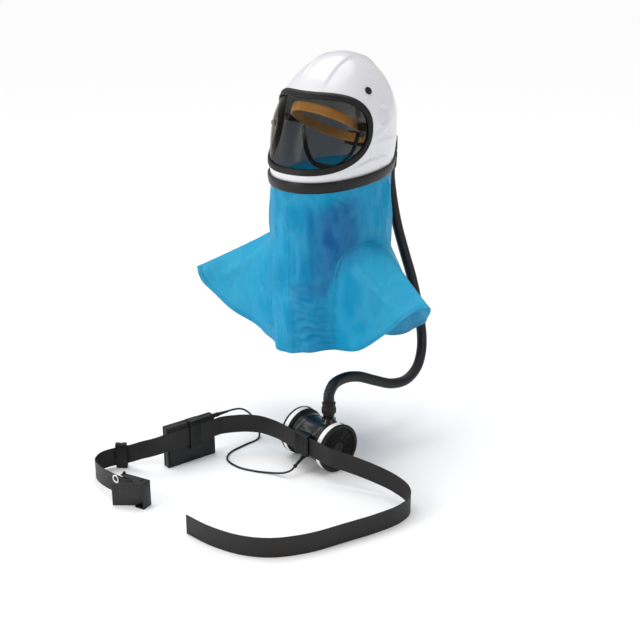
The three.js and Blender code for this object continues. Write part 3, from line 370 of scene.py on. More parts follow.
class Heap:
    """Gathers several closed forms of one piece, each placed in the piece's own frame."""

    def __init__(self, base=None):
        self.base, self.points, self.faces, self.count = base or Matrix.Identity(4), [], [], 0

    def add(self, form, matrix=None):
        points, faces = form
        m = np.array(self.base @ matrix if matrix else self.base)
        self.points.append(np.asarray(points, float) @ m[:3, :3].T + m[:3, 3])
        self.faces += [[i + self.count for i in f] for f in faces]
        self.count += len(points)
        return self

    def turn(self, profile, ease, segments, matrix=None, wobble=None):
        """Adds a turned form with its corners eased."""
        return self.add(turned(rounded(profile, ease, 3), segments, wobble), matrix)

    def piece(self, name, finish, *stands_for, **more):
        return piece(name, np.vstack(self.points), self.faces, finish, *stands_for, **more)


def rings_form(rings, closed=False):
    """Skins equal rings of points; an open row of rings gets flat ends."""
    rings = np.asarray(rings, float)
    k, n = rings.shape[:2]
    faces = []
    for a in range(k if closed else k - 1):
        b = (a + 1) % k
        faces += [[a * n + i, a * n + (i + 1) % n, b * n + (i + 1) % n, b * n + i] for i in range(n)]
    if not closed:
        faces += [list(range(n))[::-1], [(k - 1) * n + i for i in range(n)]]
    return rings.reshape(-1, 3), faces


def turned(profile, segments=64, wobble=None):
    """A turned form about +Z; wobble changes each radius by angle and height."""
    rings = []
    for r, z in profile:
        a = np.arange(segments) * 2 * np.pi / segments
        radius = np.full(segments, float(r))
        if wobble is not None:
            radius = radius + wobble(a, r, z)
        rings.append(np.stack([radius * np.cos(a), radius * np.sin(a), np.full(segments, float(z))], -1))
    return rings_form(rings)


def ring_turned(profile, segments=64):
    """A turned ring whose section closes away from the axis."""
    a = np.arange(segments) * 2 * np.pi / segments
    section = np.asarray(profile, float)
    rings = np.stack([section[None, :, 0] * np.cos(a)[:, None], section[None, :, 0] * np.sin(a)[:, None],
                      np.broadcast_to(section[None, :, 1], (segments, len(section)))], -1)
    return rings_form(rings, closed=True)


def rounded(points, radius, steps=4, closed=False):
    """Rounds the corners of a section given as [radius, height] pairs; an open one keeps its two ends."""
    points = [tuple(p) for p in points]
    out = [] if closed else [points[0]]
    if closed:
        points = points[-1:] + points + points[:1]
    for a, b, c in zip(points, points[1:], points[2:]):
        a, b, c = (np.array(p, float) for p in (a, b, c))
        before, after = a - b, c - b
        reach = min(radius, np.linalg.norm(before) * 0.45, np.linalg.norm(after) * 0.45)
        start, end = b + before / np.linalg.norm(before) * reach, b + after / np.linalg.norm(after) * reach
        for t in np.linspace(0, 1, steps):
            out.append(tuple((1 - t) ** 2 * start + 2 * t * (1 - t) * b + t * t * end))
    return out if closed else out + [points[-1]]


def block(x0, y0, z0, x1, y1, z1, edge=1.0, segments=3):
    work = bmesh.new()
    bmesh.ops.create_cube(work, size=1)
    for v in work.verts:
        v.co = Vector((x0 if v.co.x < 0 else x1, y0 if v.co.y < 0 else y1, z0 if v.co.z < 0 else z1))
    bmesh.ops.bevel(work, geom=work.edges[:], offset=edge, segments=segments, profile=0.5, affect="EDGES")
    form = np.array([v.co[:] for v in work.verts]), [[v.index for v in f.verts] for f in work.faces]
    work.free()
    return form


def slab(outline, z0, z1, edge=0.5):
    """A flat plate over an outline, its rims eased."""
    outline = np.asarray(outline, float)
    ahead = np.roll(outline, -1, 0) - outline
    behind = outline - np.roll(outline, 1, 0)
    area = np.sum(outline[:, 0] * np.roll(outline[:, 1], -1) - np.roll(outline[:, 0], -1) * outline[:, 1])
    side = np.stack([-(ahead + behind)[:, 1], (ahead + behind)[:, 0]], -1) * (1 if area > 0 else -1)
    side /= np.linalg.norm(side, axis=1)[:, None]
    rings = [np.column_stack([outline + side * inset, np.full(len(outline), z)])
             for inset, z in ((edge, z0), (0, z0 + edge), (0, z1 - edge), (edge, z1))]
    return rings_form(rings)


def loop_walk(points, step):
    """Even centripetal walk along given points: places and directions."""
    points = np.asarray(points, float)
    full = np.vstack([2 * points[0] - points[1], points, 2 * points[-1] - points[-2]])
    dense = []
    for p0, p1, p2, p3 in zip(full, full[1:], full[2:], full[3:]):
        t0 = 0.0
        t1 = t0 + np.linalg.norm(p1 - p0) ** 0.5
        t2 = t1 + np.linalg.norm(p2 - p1) ** 0.5
        t3 = t2 + np.linalg.norm(p3 - p2) ** 0.5
        t = np.linspace(t1, t2, 40, endpoint=False)[:, None]
        a1 = (t1 - t) / (t1 - t0) * p0 + (t - t0) / (t1 - t0) * p1
        a2 = (t2 - t) / (t2 - t1) * p1 + (t - t1) / (t2 - t1) * p2
        a3 = (t3 - t) / (t3 - t2) * p2 + (t - t2) / (t3 - t2) * p3
        b1 = (t2 - t) / (t2 - t0) * a1 + (t - t0) / (t2 - t0) * a2
        b2 = (t3 - t) / (t3 - t1) * a2 + (t - t1) / (t3 - t1) * a3
        dense.append((t2 - t) / (t2 - t1) * b1 + (t - t1) / (t2 - t1) * b2)
    dense = np.vstack(dense + [points[-1:]])
    run = np.concatenate([[0], np.cumsum(np.linalg.norm(np.diff(dense, axis=0), axis=1))])
    at = np.linspace(0, run[-1], max(3, round(run[-1] / step) + 1))
    walk = np.stack([np.interp(at, run, dense[:, k]) for k in range(3)], -1)
    heading = np.gradient(walk, axis=0)
    return walk, heading / np.linalg.norm(heading, axis=1)[:, None], at


def tube_form(walk, heading, radius, sides):
    """A tube whose radius may change by step and by side."""
    rings, normal = [], np.array([0, 1, 0.2])
    around = np.arange(sides) * 2 * np.pi / sides
    for k, (p, t) in enumerate(zip(walk, heading)):
        normal = normal - t * normal.dot(t)
        normal /= np.linalg.norm(normal)
        other = np.cross(t, normal)
        r = radius(k, around)[:, None]
        rings.append(p + r * (np.cos(around)[:, None] * normal + np.sin(around)[:, None] * other))
    return rings_form(rings)


def cells_form(outer, inner, wrap=False, present=None):
    """A sheet between two grids of points, with walls at its edges and round its openings."""
    cols, rows = outer.shape[0] - (0 if wrap else 1), outer.shape[1] - 1
    width, height = outer.shape[:2]
    number = np.arange(width * height).reshape(width, height)
    there = np.ones((cols, rows), bool) if present is None else present
    faces = []
    shift = width * height

    def has(i, j):
        if not 0 <= j < rows:
            return False
        if not wrap and not 0 <= i < cols:
            return False
        return bool(there[i % cols, j])

    for i in range(cols):
        k = (i + 1) % width
        for j in range(rows):
            if not there[i, j]:
                continue
            a, b, c, d = number[i, j], number[k, j], number[k, j + 1], number[i, j + 1]
            faces += [[a, b, c, d], [shift + d, shift + c, shift + b, shift + a]]
            for missing, p, q in ((not has(i, j - 1), b, a), (not has(i, j + 1), d, c),
                                  (not has(i - 1, j), a, d), (not has(i + 1, j), c, b)):
                if missing:
                    faces.append([p, q, shift + q, shift + p])
    return np.vstack([outer.reshape(-1, 3), inner.reshape(-1, 3)]), faces


def smooth(x, low, high):
    t = np.clip((np.asarray(x, float) - low) / (high - low), 0, 1)
    return t * t * (3 - 2 * t)


def place(x=0, y=0, z=0, yaw=0.0):
    return Matrix.Translation((x, y, z)) @ Matrix.Rotation(math.radians(yaw), 4, "Z")


ALONG_X = Matrix.Rotation(math.pi / 2, 4, "Y")
ALONG_MINUS_X = Matrix.Rotation(-math.pi / 2, 4, "Y")


# The camera and the two cords.

studio()

HOSE_R, CABLE_R, GROUND_Z = 12.0, 2.2, -812.0
HOSE_POINTS = [
    (25, 184.5, -226.3), (25, 184.5, -246), (33, 185.5, -300), (47, 187, -360), (66, 190, -420),
    (90, 193, -490),
    (110, 192, -560), (126, 184, -614), (137, 167, -650), (144, 138, -680), (140, 100, -699), (128, 60, -698),
    (113, 12, -678), (103, -32, -657), (101, -72, -645), (106, -114, -638), (115, -149, -637),
    (120.6, -168.8, -650), (120.6, -168.8, -665.7)]
CABLE_POINTS = [
    (-102.77, -248.55, -722), (-99.55, -235.3, -722), (-97, -209, -729), (-97, -182, -750), (-97, -161, -780),
    (-90, -158, -802), (-78, -176, -809.6), (-80, -220, -809.8), (-80, -268, -809.8), (-62, -298, -809.8),
    (-19, -310, -809.8), (21, -302, -809.8), (60, -287, -808), (84, -282, -802.5), (96.5, -275.5, -797),
    (99.9, -268.5, -793.5), (99.6, -261.6, -790.9)]


def breathing_hose():
    walk, heading, run = loop_walk(HOSE_POINTS, 1.25)
    strength = 0.12 + 0.38 * smooth(run, run[-1] - 330, run[-1] - 90)

    def radius(k, around):
        lead = 2 * np.pi * run[k] / 5.0 - around * 2
        return HOSE_R - 0.25 + strength[k] * np.cos(lead)

    hose = Heap().add(tube_form(walk, heading, radius, 28)).piece(
        "breathing_hose", HOSE, "hose", slot="hose", sharp=60)


def battery_cable():
    walk, heading, run = loop_walk(CABLE_POINTS, 2.2)
    cable = Heap().add(tube_form(walk, heading, lambda k, around: np.full(len(around), CABLE_R), 12)).piece(
        "battery_cable", HOSE, "cable", slot="cable", sharp=60)


breathing_hose()
battery_cable()


# Helmet shell: one surface that the shell, gasket, visor, band and shroud share.

CROWN_Z, SHELL_HEIGHT, SHELL_HALF_WIDTH, SHELL_WALL = 46, 274, 125, 3.5
DOME_SHARE, DOME_POWER, PLAN_POWER = 0.52, 2.05, 2.15
RIM_FRONT_Z, RIM_REAR_Z = -223, -196
SHELL_PLAN = np.array([
    # drop, side, front, rear, back
    [0.0, 0.896, 0.944, 1.024, 0.24], [0.24, 0.952, 0.992, 1.104, 0.128], [0.5, 1.0, 1.088, 1.232, 0],
    [0.72, 0.992, 1.208, 1.2, 0], [0.88, 0.952, 1.216, 1.104, 0], [1.0, 0.92, 1.2, 0.96, 0]])
PORT_HALF_ANGLE, PORT_TOP_Z, PORT_BOTTOM_Z, PORT_END_RISE = math.radians(80), -24, -185, 6
FIT_GAP = 0.3


def along(table, t):
    """Smooth values of a table's other columns at t in its first column."""
    x, rest = table[:, 0], table[:, 1:]
    slope = np.empty_like(rest)
    slope[1:-1] = (rest[2:] - rest[:-2]) / (x[2:] - x[:-2])[:, None]
    slope[0] = (rest[1] - rest[0]) / (x[1] - x[0])
    slope[-1] = (rest[-1] - rest[-2]) / (x[-1] - x[-2])
    t = np.asarray(t, float)
    k = np.clip(np.searchsorted(x, t, side="right") - 1, 0, len(x) - 2)
    h = (x[k + 1] - x[k])[..., None]
    s = np.clip((t - x[k])[..., None] / h, 0, 1)
    return ((2 * s**3 - 3 * s**2 + 1) * rest[k] + (s**3 - 2 * s**2 + s) * h * slope[k]
            + (-2 * s**3 + 3 * s**2) * rest[k + 1] + (s**3 - s**2) * h * slope[k + 1])


def shell_point(theta, z, inset=0.0):
    """Shell surface at an angle from the front, towards +X, and a height, moved inwards by inset."""
    theta, z, inset = np.broadcast_arrays(np.asarray(theta, float), np.asarray(z, float),
                                          np.asarray(inset, float))
    drop = np.clip((CROWN_Z - inset - z) / (SHELL_HEIGHT - inset), 0, 1)
    side, front, rear, back = np.moveaxis(along(SHELL_PLAN, drop), -1, 0)
    share = (1 - np.clip(1 - drop / DOME_SHARE, 0, 1) ** DOME_POWER) ** (1 / DOME_POWER)
    s, c = np.sin(theta), np.cos(theta)
    px = np.sign(s) * np.abs(s) ** (2 / PLAN_POWER)
    py = np.sign(c) * np.abs(c) ** (2 / PLAN_POWER)
    depth = np.where(c > 0, front, rear) * SHELL_HALF_WIDTH
    return np.stack([(side * SHELL_HALF_WIDTH - inset) * share * px,
                     back * SHELL_HALF_WIDTH - (depth - inset) * share * py, z], -1)


def shell_normal(theta, z):
    z = np.clip(z, RIM_FRONT_Z, CROWN_Z - 3)
    across = shell_point(theta + 0.02, z) - shell_point(theta - 0.02, z)
    upward = shell_point(theta, z + 1.5) - shell_point(theta, z - 1.5)
    n = np.cross(across, upward)
    return n / np.maximum(np.linalg.norm(n, axis=-1, keepdims=True), 1e-9)


def rim_z(theta):
    return RIM_REAR_Z + (RIM_FRONT_Z - RIM_REAR_Z) * (1 + np.cos(theta)) / 2


def port_mid(theta):
    return (PORT_TOP_Z + PORT_BOTTOM_Z) / 2 + PORT_END_RISE * (theta / PORT_HALF_ANGLE) ** 2


def port_edge(t, out=0.0):
    """Angle and height of the face opening's edge, moved outwards by out; t runs round it from the top."""
    def spot(u):
        theta = PORT_HALF_ANGLE * np.sin(u)
        bulge = np.clip(1 - np.abs(np.sin(u)) ** 3.2, 0, 1) ** (1 / 2.2)
        return theta, port_mid(theta) + (PORT_TOP_Z - PORT_BOTTOM_Z) / 2 * np.sign(np.cos(u)) * bulge

    theta, z = spot(t)
    reach = np.linalg.norm(shell_point(theta + 0.01, z) - shell_point(theta - 0.01, z), axis=-1) / 0.02
    (ta, za), (tb, zb) = spot(t - 0.05), spot(t + 0.05)
    run = np.stack([(tb - ta) * reach, zb - za], -1)
    run /= np.linalg.norm(run, axis=-1, keepdims=True)
    return theta - run[..., 1] * out / reach, z + run[..., 0] * out


PORT_STEPS, REAR_STEPS = 96, 96
COLUMNS = np.concatenate([
    PORT_HALF_ANGLE * np.sin(-np.pi / 2 + np.pi * np.arange(PORT_STEPS + 1) / PORT_STEPS),
    PORT_HALF_ANGLE + (np.pi - PORT_HALF_ANGLE) * (1 - np.cos(np.pi * np.arange(1, REAR_STEPS) / REAR_STEPS))])

# Creases in the shell's sides: lines of [angle in degrees, height], the step across them and its reach.
SIDE_CREASES = [
    ([(82.5, -124), (88.5, -116), (97, -105), (107.5, -95)], 2.2, 16),
    ([(82.5, -124), (99, -123), (130, -131)], -1.9, 16),
    ([(58, -177), (65.5, -171), (78.5, -161), (95, -158), (106.5, -172)], -3.0, 22),
]
DISH = {"angle": 94, "z": -73, "r": 20, "depth": 4.0}
DEGREE_WIDTH = 2.18


def crease_step(theta, z, line, step, reach):
    """Raises one side of a line by a step that dies away from it."""
    u, v = np.degrees(np.abs(theta)) * DEGREE_WIDTH, z
    best, signed = np.full(u.shape, 1e9), np.zeros(u.shape)
    line = np.array([(a * DEGREE_WIDTH, b) for a, b in line])
    for a, b in zip(line, line[1:]):
        d = b - a
        t = np.clip(((u - a[0]) * d[0] + (v - a[1]) * d[1]) / d.dot(d), 0, 1)
        x, y = u - a[0] - t * d[0], v - a[1] - t * d[1]
        away = np.hypot(x, y)
        side = np.sign(d[0] * y - d[1] * x)
        closer = away < best
        best, signed = np.where(closer, away, best), np.where(closer, side * away, signed)
    ends = np.minimum(np.hypot(u - line[0][0], v - line[0][1]), np.hypot(u - line[-1][0], v - line[-1][1]))
    return (abs(step) * smooth(np.sign(step) * signed, -0.6, 2.2) * (1 - smooth(best, 1, reach))
            * smooth(ends, 0, 14))


def shell_relief(theta, z, p):
    x, y = p[..., 0], p[..., 1]
    fade = np.where(y < 20, smooth(z, -19, 4), smooth(z, -75, -45))
    crest = (2.3 * (1 - smooth(np.abs(x), 32, 38.5)) + 1.5 * np.exp(-((np.abs(x) - 33.5) / 3.2) ** 2)) * fade
    out = crest
    for line, step, reach in SIDE_CREASES:
        out = out + crease_step(theta, z, line, step, reach)
    for side in (1, -1):
        middle = shell_point(math.radians(side * DISH["angle"]), DISH["z"])
        r = np.linalg.norm((p - middle) * (1, 1, 0.92), axis=-1)
        bowl = -DISH["depth"] * (1 - smooth(r, DISH["r"] - 4.5, DISH["r"]))
        rim = 0.7 * np.exp(-((r - DISH["r"] - 1) / 1.6) ** 2)
        badge = 1.7 * (1 - smooth(np.abs(r - 9), 1.0, 2.1))
        out = out + bowl + rim + badge
    return out


def helmet_shell():
    upper, middle, lower = 52, 10, 30
    turn = np.abs(np.arctan2(np.sin(COLUMNS), np.cos(COLUMNS)))
    u = np.arcsin(np.clip(COLUMNS / PORT_HALF_ANGLE, -1, 1))
    rear = np.arange(len(COLUMNS)) > PORT_STEPS
    swell = 22 * np.sin((turn - PORT_HALF_ANGLE) / (np.pi - PORT_HALF_ANGLE) * np.pi / 2)
    top = np.where(rear, port_mid(PORT_HALF_ANGLE) + swell, port_edge(u)[1])
    low = np.where(rear, port_mid(PORT_HALF_ANGLE) - swell, port_edge(np.pi - u)[1])
    rim = rim_z(COLUMNS)
    down = 1 - np.cos(np.pi / 2 * (np.arange(upper + 1) / upper) ** 0.9)
    z = np.concatenate([CROWN_Z - (CROWN_Z - top)[:, None] * down,
                        top[:, None] + (low - top)[:, None] * np.arange(1, middle + 1) / middle,
                        low[:, None] + (rim - low)[:, None] * np.arange(1, lower + 1) / lower], axis=1)
    theta = np.broadcast_to(COLUMNS[:, None], z.shape)
    outer = shell_point(theta, z)
    outer = outer + shell_normal(theta, z) * shell_relief(theta, z, outer)[..., None]
    sink = SHELL_WALL * np.clip((z - PORT_TOP_Z) / (CROWN_Z - PORT_TOP_Z), 0, 1)
    inner = shell_point(theta, z - sink, SHELL_WALL)
    there = np.ones((len(COLUMNS), z.shape[1] - 1), bool)
    there[:PORT_STEPS, upper:upper + middle] = False
    Heap().add(cells_form(outer, inner, wrap=True, present=there)).piece(
        "shell", SHELL, "helmet_shell", slot="shell", sharp=50)


GASKET_LIP, GASKET_WIDTH, GASKET_PROUD, GASKET_DEPTH = 3, 14, 3, 6.8
VISOR_SETBACK, VISOR_THICK, VISOR_HOLD = 2.3, 2.5, 4


def on_port(t, out, proud):
    theta, z = port_edge(t, out)
    return shell_point(theta, z, -proud)


def visor_gasket():
    grip, web = GASKET_LIP - GASKET_WIDTH, -VISOR_HOLD - 3
    under = -VISOR_SETBACK - VISOR_THICK - FIT_GAP - 0.35
    section = [(GASKET_LIP, FIT_GAP), (GASKET_LIP - 2.4, GASKET_PROUD), (-2, GASKET_PROUD + 0.5),
               (-6, GASKET_PROUD - 0.3),
               (grip + 2.5, GASKET_PROUD), (grip, 0.8), (grip, FIT_GAP - VISOR_SETBACK),
               (web, FIT_GAP - VISOR_SETBACK),
               (web, under), (grip, under), (grip, -GASKET_DEPTH), (GASKET_LIP, -GASKET_DEPTH),
               (GASKET_LIP, -SHELL_WALL - 0.9), (-FIT_GAP, -SHELL_WALL - 0.9), (-FIT_GAP, FIT_GAP)]
    section = rounded(section, 0.9, 3, closed=True)
    turns = -np.pi / 2 + np.pi * np.arange(2 * PORT_STEPS) / PORT_STEPS
    rings = np.stack([on_port(turns, a, b) for a, b in section], axis=1)
    Heap().add(rings_form(rings, closed=True)).piece("gasket", RUBBER, "visor_gasket", slot="rubber")


def visor_sheet():
    rows = 26
    edge = -VISOR_HOLD - 3 - FIT_GAP - 0.4
    t = -np.pi / 2 + np.pi * np.arange(PORT_STEPS + 1) / PORT_STEPS
    (ta, za), (tb, zb) = port_edge(t, edge), port_edge(np.pi - t, edge)
    s = np.arange(rows + 1) / rows
    theta, z = ta[:, None] + (tb - ta)[:, None] * s, za[:, None] + (zb - za)[:, None] * s
    outer, inner = shell_point(theta, z, VISOR_SETBACK), shell_point(theta, z, VISOR_SETBACK + VISOR_THICK)
    Heap().add(cells_form(outer, inner)).piece("visor_sheet", VISOR, "visor", slot="visor", sharp=40)


def on_shell(angle, z, proud):
    theta = math.radians(angle)
    normal = Vector(shell_normal(np.array(theta), np.array(float(z))))
    at = Vector(shell_point(theta, z)) + normal * proud
    return Matrix.Translation(at) @ Vector((0, 0, 1)).rotation_difference(normal).to_matrix().to_4x4()


POST_ANGLE, POST_Z, PLUG_ANGLE, PLUG_Z = 68, -105, 77, -22
POST_PROFILE = [(0, 0), (5.5, 0), (5.5, 4.2), (4.7, 4.7), (4.7, 5.4), (5.5, 6.0), (5.2, 7.8), (3.4, 8.5),
                (1.8, 8.5),
                (1.5, 7.7), (0, 7.7)]
PLUG_PROFILE = [(0, 0), (8.5, 0), (8.5, 0.9), (7.6, 1.8), (6.0, 2.2), (5.2, 2.0), (4.6, 1.3), (0, 1.1)]


def shell_fixings():
    for side, sign in (("left", 1), ("right", -1)):
        seat = on_shell(sign * POST_ANGLE, POST_Z, FIT_GAP - VISOR_SETBACK)
        Heap().turn(POST_PROFILE, 0.5, 36, seat).piece(f"post_cap_{side}", BLACK, f"visor_post_{side}")
        seat = on_shell(sign * PLUG_ANGLE, PLUG_Z, 0.6)
        Heap().turn(PLUG_PROFILE, 0.5, 40, seat).piece(f"vent_plug_{side}", BLACK, f"shell_plug_{side}")


BAND_HEIGHT, BAND_THICK, CLOTH_THICK = 23, 4.8, 1.0


def neck_band():
    inside = 2 * FIT_GAP + CLOTH_THICK
    section = [(inside, -1.5), (inside, BAND_HEIGHT - 1.5), (inside + BAND_THICK * 0.5, BAND_HEIGHT - 0.8),
               (inside + BAND_THICK * 0.86, BAND_HEIGHT - 3.2), (inside + BAND_THICK, BAND_HEIGHT * 0.6),
               (inside + BAND_THICK, BAND_HEIGHT * 0.36), (inside + BAND_THICK * 0.86, 2.0),
               (inside + BAND_THICK * 0.5, -2.2)]
    section = rounded(section, 1.4, 4, closed=True)
    rim = rim_z(COLUMNS)
    rings = []
    for out, up in section:
        p = shell_point(COLUMNS, rim + max(up, 0), -out)
        p[:, 2] = rim + up
        rings.append(p)
    Heap().add(rings_form(np.stack(rings, axis=1), closed=True)).piece(
        "shell_band", BAND, "neck_band", slot="band", sharp=60)


# Shroud: straight lines from the neck band to a crease and from there to the hem.

NECK_REACH_Z, NECK_PLAN_Z, HEM_DROP, WING_REACH = -345, -206, 600, 325
SHROUD_HEM = np.array([
    # turn, across, aft, down, crease
    [-180, 0, 0.21, 1.03, 1.22], [-142, -0.36, 0.13, 1.02, 1.2], [-118, -0.74, -0.01, 0.93, 1.03],
    [-100, -0.97, -0.13, 0.815, 1.0], [-90, -1.0, -0.165, 0.775, 0.99], [-80, -0.93, -0.167, 0.84, 0.985],
    [-62, -0.65, -0.15, 0.925, 1.0], [-48, -0.4, -0.16, 0.965, 1.06], [-38, -0.25, -0.205, 0.965, 1.2],
    [-18, -0.12, -0.245, 0.98, 1.22], [0, -0.01, -0.25, 0.98, 1.22], [18, 0.13, -0.24, 0.965, 1.22],
    [38, 0.29, -0.2, 0.945, 1.2], [48, 0.45, -0.158, 0.938, 1.04], [62, 0.63, -0.13, 0.86, 0.99],
    [80, 0.85, -0.15, 0.752, 0.985], [90, 0.98, -0.163, 0.715, 1.0], [100, 0.96, -0.13, 0.752, 1.01],
    [118, 0.76, -0.02, 0.845, 1.04], [142, 0.4, 0.12, 0.97, 1.2], [180, 0, 0.21, 1.03, 1.22]])

# Seams as lines of [turn in degrees, share]: 0 at the band, 1 at the crease, 2 at the hem.
SEAMS = [
    [(-1.2, 0.0), (-1.2, 0.8), (-1.8, 1.26), (-2.4, 2.0)],
    [(45, 1.14), (43, 1.3), (40.8, 1.45), (39.4, 1.7), (38.4, 2.0)],
    [(45, 1.14), (49, 1.09), (54.6, 1.06), (65, 1.02), (76.8, 1.01), (86, 1.01), (91, 1.06), (94.8, 1.22)],
    [(94.8, 1.22), (95.4, 1.59), (93.0, 2.0)],
    [(-45, 1.14), (-43, 1.3), (-40.8, 1.45), (-39.4, 1.7), (-38.4, 2.0)],
    [(-45, 1.14), (-49, 1.09), (-54.6, 1.06), (-65, 1.02), (-76.8, 1.01), (-84, 1.03), (-86, 1.19)],
    [(-86, 1.19), (-90, 1.54), (-90.6, 2.0)],
    [(180, 0.0), (180, 1.0), (180, 2.0)],
]
# Single folds: line, height, width.
FOLDS = [
    ([(40, 0.08), (45, 0.14), (51.6, 0.24), (61.2, 0.37), (66, 0.52)], 4.5, 5.1),
    ([(50, 0.05), (56, 0.16), (60, 0.22)], 3.3, 4.25),
    ([(84, 0.0), (88.2, 0.32), (92, 0.6), (92, 0.95)], 5.4, 5.95),
    ([(98, 0.0), (101, 0.3), (104, 0.6), (101, 0.95)], -4.8, 5.95),
    ([(110, 0.0), (110, 0.4), (114.6, 0.79)], 4.8, 6.8),
    ([(22, 0.0), (20, 0.5), (24, 0.95), (28, 1.3)], 3.3, 7.65),
    ([(-20, 0.0), (-22, 0.5), (-24, 0.95), (-26, 1.5)], 3.6, 8.5),
    ([(-44, 0.0), (-46, 0.6), (-56, 1.1), (-62, 1.6)], 3.9, 10.2),
    ([(-60, 1.44), (-54, 1.49), (-48, 1.52)], 3.9, 3.825),
    ([(-4, 1.02), (3, 1.06), (10, 1.04)], 3.6, 3.825),
    ([(4, 0.9), (12, 1.0), (20, 0.98), (30, 1.04)], 3.6, 4.25),
    ([(60, 1.2), (66, 1.5), (74, 1.9)], 4.5, 9.35),
    ([(-66, 1.2), (-74, 1.55), (-80, 1.9)], 4.8, 10.2),
    ([(128, 0.3), (134, 0.9), (140, 1.6)], 6, 11.9),
    ([(-128, 0.3), (-134, 0.9), (-140, 1.6)], 6, 11.9),
]
# Gathers beside the right front seam, and slighter ones beside its mirror: turn, reach, height.
GATHERS = [(24, 18, 3.6), (-27, 15, 1.9)]
# Slow swells of the hanging cloth: height, waves round it, length down it, start.
SWELLS = [(1.5, 7, 60, 0), (1.2, 13, -38, 1.3), (0.7, 22, 23, 0.4)]
# Where a blurred shadow of the hose is painted on the cloth, and the shares of the doubled hem.
HOSE_SHADE_PLACE, HEM_DOUBLE = [(53, 0.66), (57, 0.8)], (14 / 260, 11 / 260)
CLOTH_COLUMNS, TUCK_ROWS, TUBE_ROWS, SKIRT_ROWS, FLAT_WIDTH = 312, 6, 46, 104, 1.1


def shroud_point(theta, s):
    theta = np.asarray(theta, float)
    out = FIT_GAP + CLOTH_THICK / 2
    turn = np.degrees(np.arctan2(np.sin(theta), np.cos(theta)))
    across, aft, down, crease = np.moveaxis(along(SHROUD_HEM, turn), -1, 0)
    top = shell_point(theta, rim_z(theta), -out)
    neck = shell_point(theta, NECK_PLAN_Z, -out)
    neck = np.stack([neck[..., 0], neck[..., 1], crease * NECK_REACH_Z], -1)
    hem = np.stack([across * WING_REACH, aft * HEM_DROP, -down * HEM_DROP], -1)
    s = np.asarray(s, float)[..., None]
    return np.where(s <= 1, top + (neck - top) * s, neck + (hem - neck) * (s - 1))


def soft_shroud_point(theta, s):
    """The shroud's middle with its crease eased as cloth bends."""
    ease = 0.085 * (1 - smooth(np.abs(s - 1), 0.0, 0.14))
    return sum(shroud_point(theta, s + k * ease) for k in (-1, -0.5, 0, 0.5, 1)) / 5


def line_on_shroud(line):
    line = np.array(line, float)
    at = np.linspace(0, len(line) - 1, 24 * (len(line) - 1) + 1)
    turn, share = (np.interp(at, np.arange(len(line)), line[:, k]) for k in (0, 1))
    return soft_shroud_point(np.radians(turn), share)


def away_from(points, line):
    """Distance of every point from a line and how far along the line its nearest place lies, 0 to 1."""
    flat, best, where = points.reshape(-1, 3), None, None
    for k, p in enumerate(line):
        d = np.linalg.norm(flat - p, axis=1)
        if best is None:
            best, where = d, np.zeros(len(d))
        else:
            closer = d < best
            best, where = np.where(closer, d, best), np.where(closer, k / (len(line) - 1), where)
    return best.reshape(points.shape[:-1]), where.reshape(points.shape[:-1])


def hump(x, middle, reach):
    return np.exp(-((x - middle) / reach) ** 2)


def cloth_lift(middle, turn, share, free, seams):
    """How far folds, gathers, swells, the hem's waves and the seams lift the cloth off its plain form."""
    z = middle[..., 2]
    lift = np.zeros(z.shape)
    for line, height, width in FOLDS:
        d, where = away_from(middle, line_on_shroud(line))
        lift += height * hump(d, 0, width) * smooth(where, 0, 0.25) * (1 - smooth(where, 0.75, 1))
    for centre, reach, height in GATHERS:
        window = hump(turn, centre, reach) * smooth(share, 0.98, 1.12) * (1 - smooth(share, 1.8, 1.95))
        drift = 3.0 * np.sin(np.radians(turn) * 5 + z / 31) + 1.7 * np.sin(z / 17 + turn / 5)
        lift += height * window * np.sin((z + drift * 2.2) / 2.7) * (0.6 + 0.4 * np.sin(z / 41 + turn / 9))
    for height, waves, length, begin in SWELLS:
        lift += free * height * np.sin(np.radians(turn) * waves + z / length + begin)
    lift += smooth(share, 1.4, 2) * 2.6 * np.sin(np.radians(turn) * 16 + 0.9)
    for d in seams:
        lift += 0.9 * hump(d, 0, 1.8) - 1.1 * hump(d, 4.6, 2.4)
    return lift


def cloth_values(middle, turn, share, seams):
    """The doubled hem, and the values that the cloth's finish reads: seams, painted shade, painted light on the
    wings, and gathers.
    """
    hem = smooth(share, 2 - HEM_DOUBLE[0], 2 - HEM_DOUBLE[1]) * np.ones_like(seams[0])
    seam = np.maximum(np.max([hump(d, 0, 2.6) for d in seams], axis=0), hem * 0.8)
    # Painted shade: the shade value darkens the neck tube under the shell, the front panel below the crease and
    # a blurred shadow of the hose.
    deep, _ = away_from(middle, line_on_shroud(HOSE_SHADE_PLACE))
    shade = (hump(turn, 46, 27) * smooth(share, 0.03, 0.3) * (1 - smooth(share, 0.95, 1.3))
             + 0.4 * smooth(turn, -3, 4) * (1 - smooth(turn, 36, 42)) * smooth(share, 0.95, 1.1)
             + 0.9 * hump(deep, 0, 26))
    side = np.abs(turn)
    # Painted light on the side wings below the crease.
    wing_light = smooth(share, 1.02, 1.3) * smooth(side, 46, 66) * (1 - smooth(side, 130, 150))
    beside = hump(turn, 34, 11) * (turn < 42) + 0.6 * hump(turn, -34, 11) * (turn > -42)
    return hem, {"seam": seam, "shade": shade, "wing_light": wing_light, "gather": beside * smooth(share, 1.0, 1.15)}


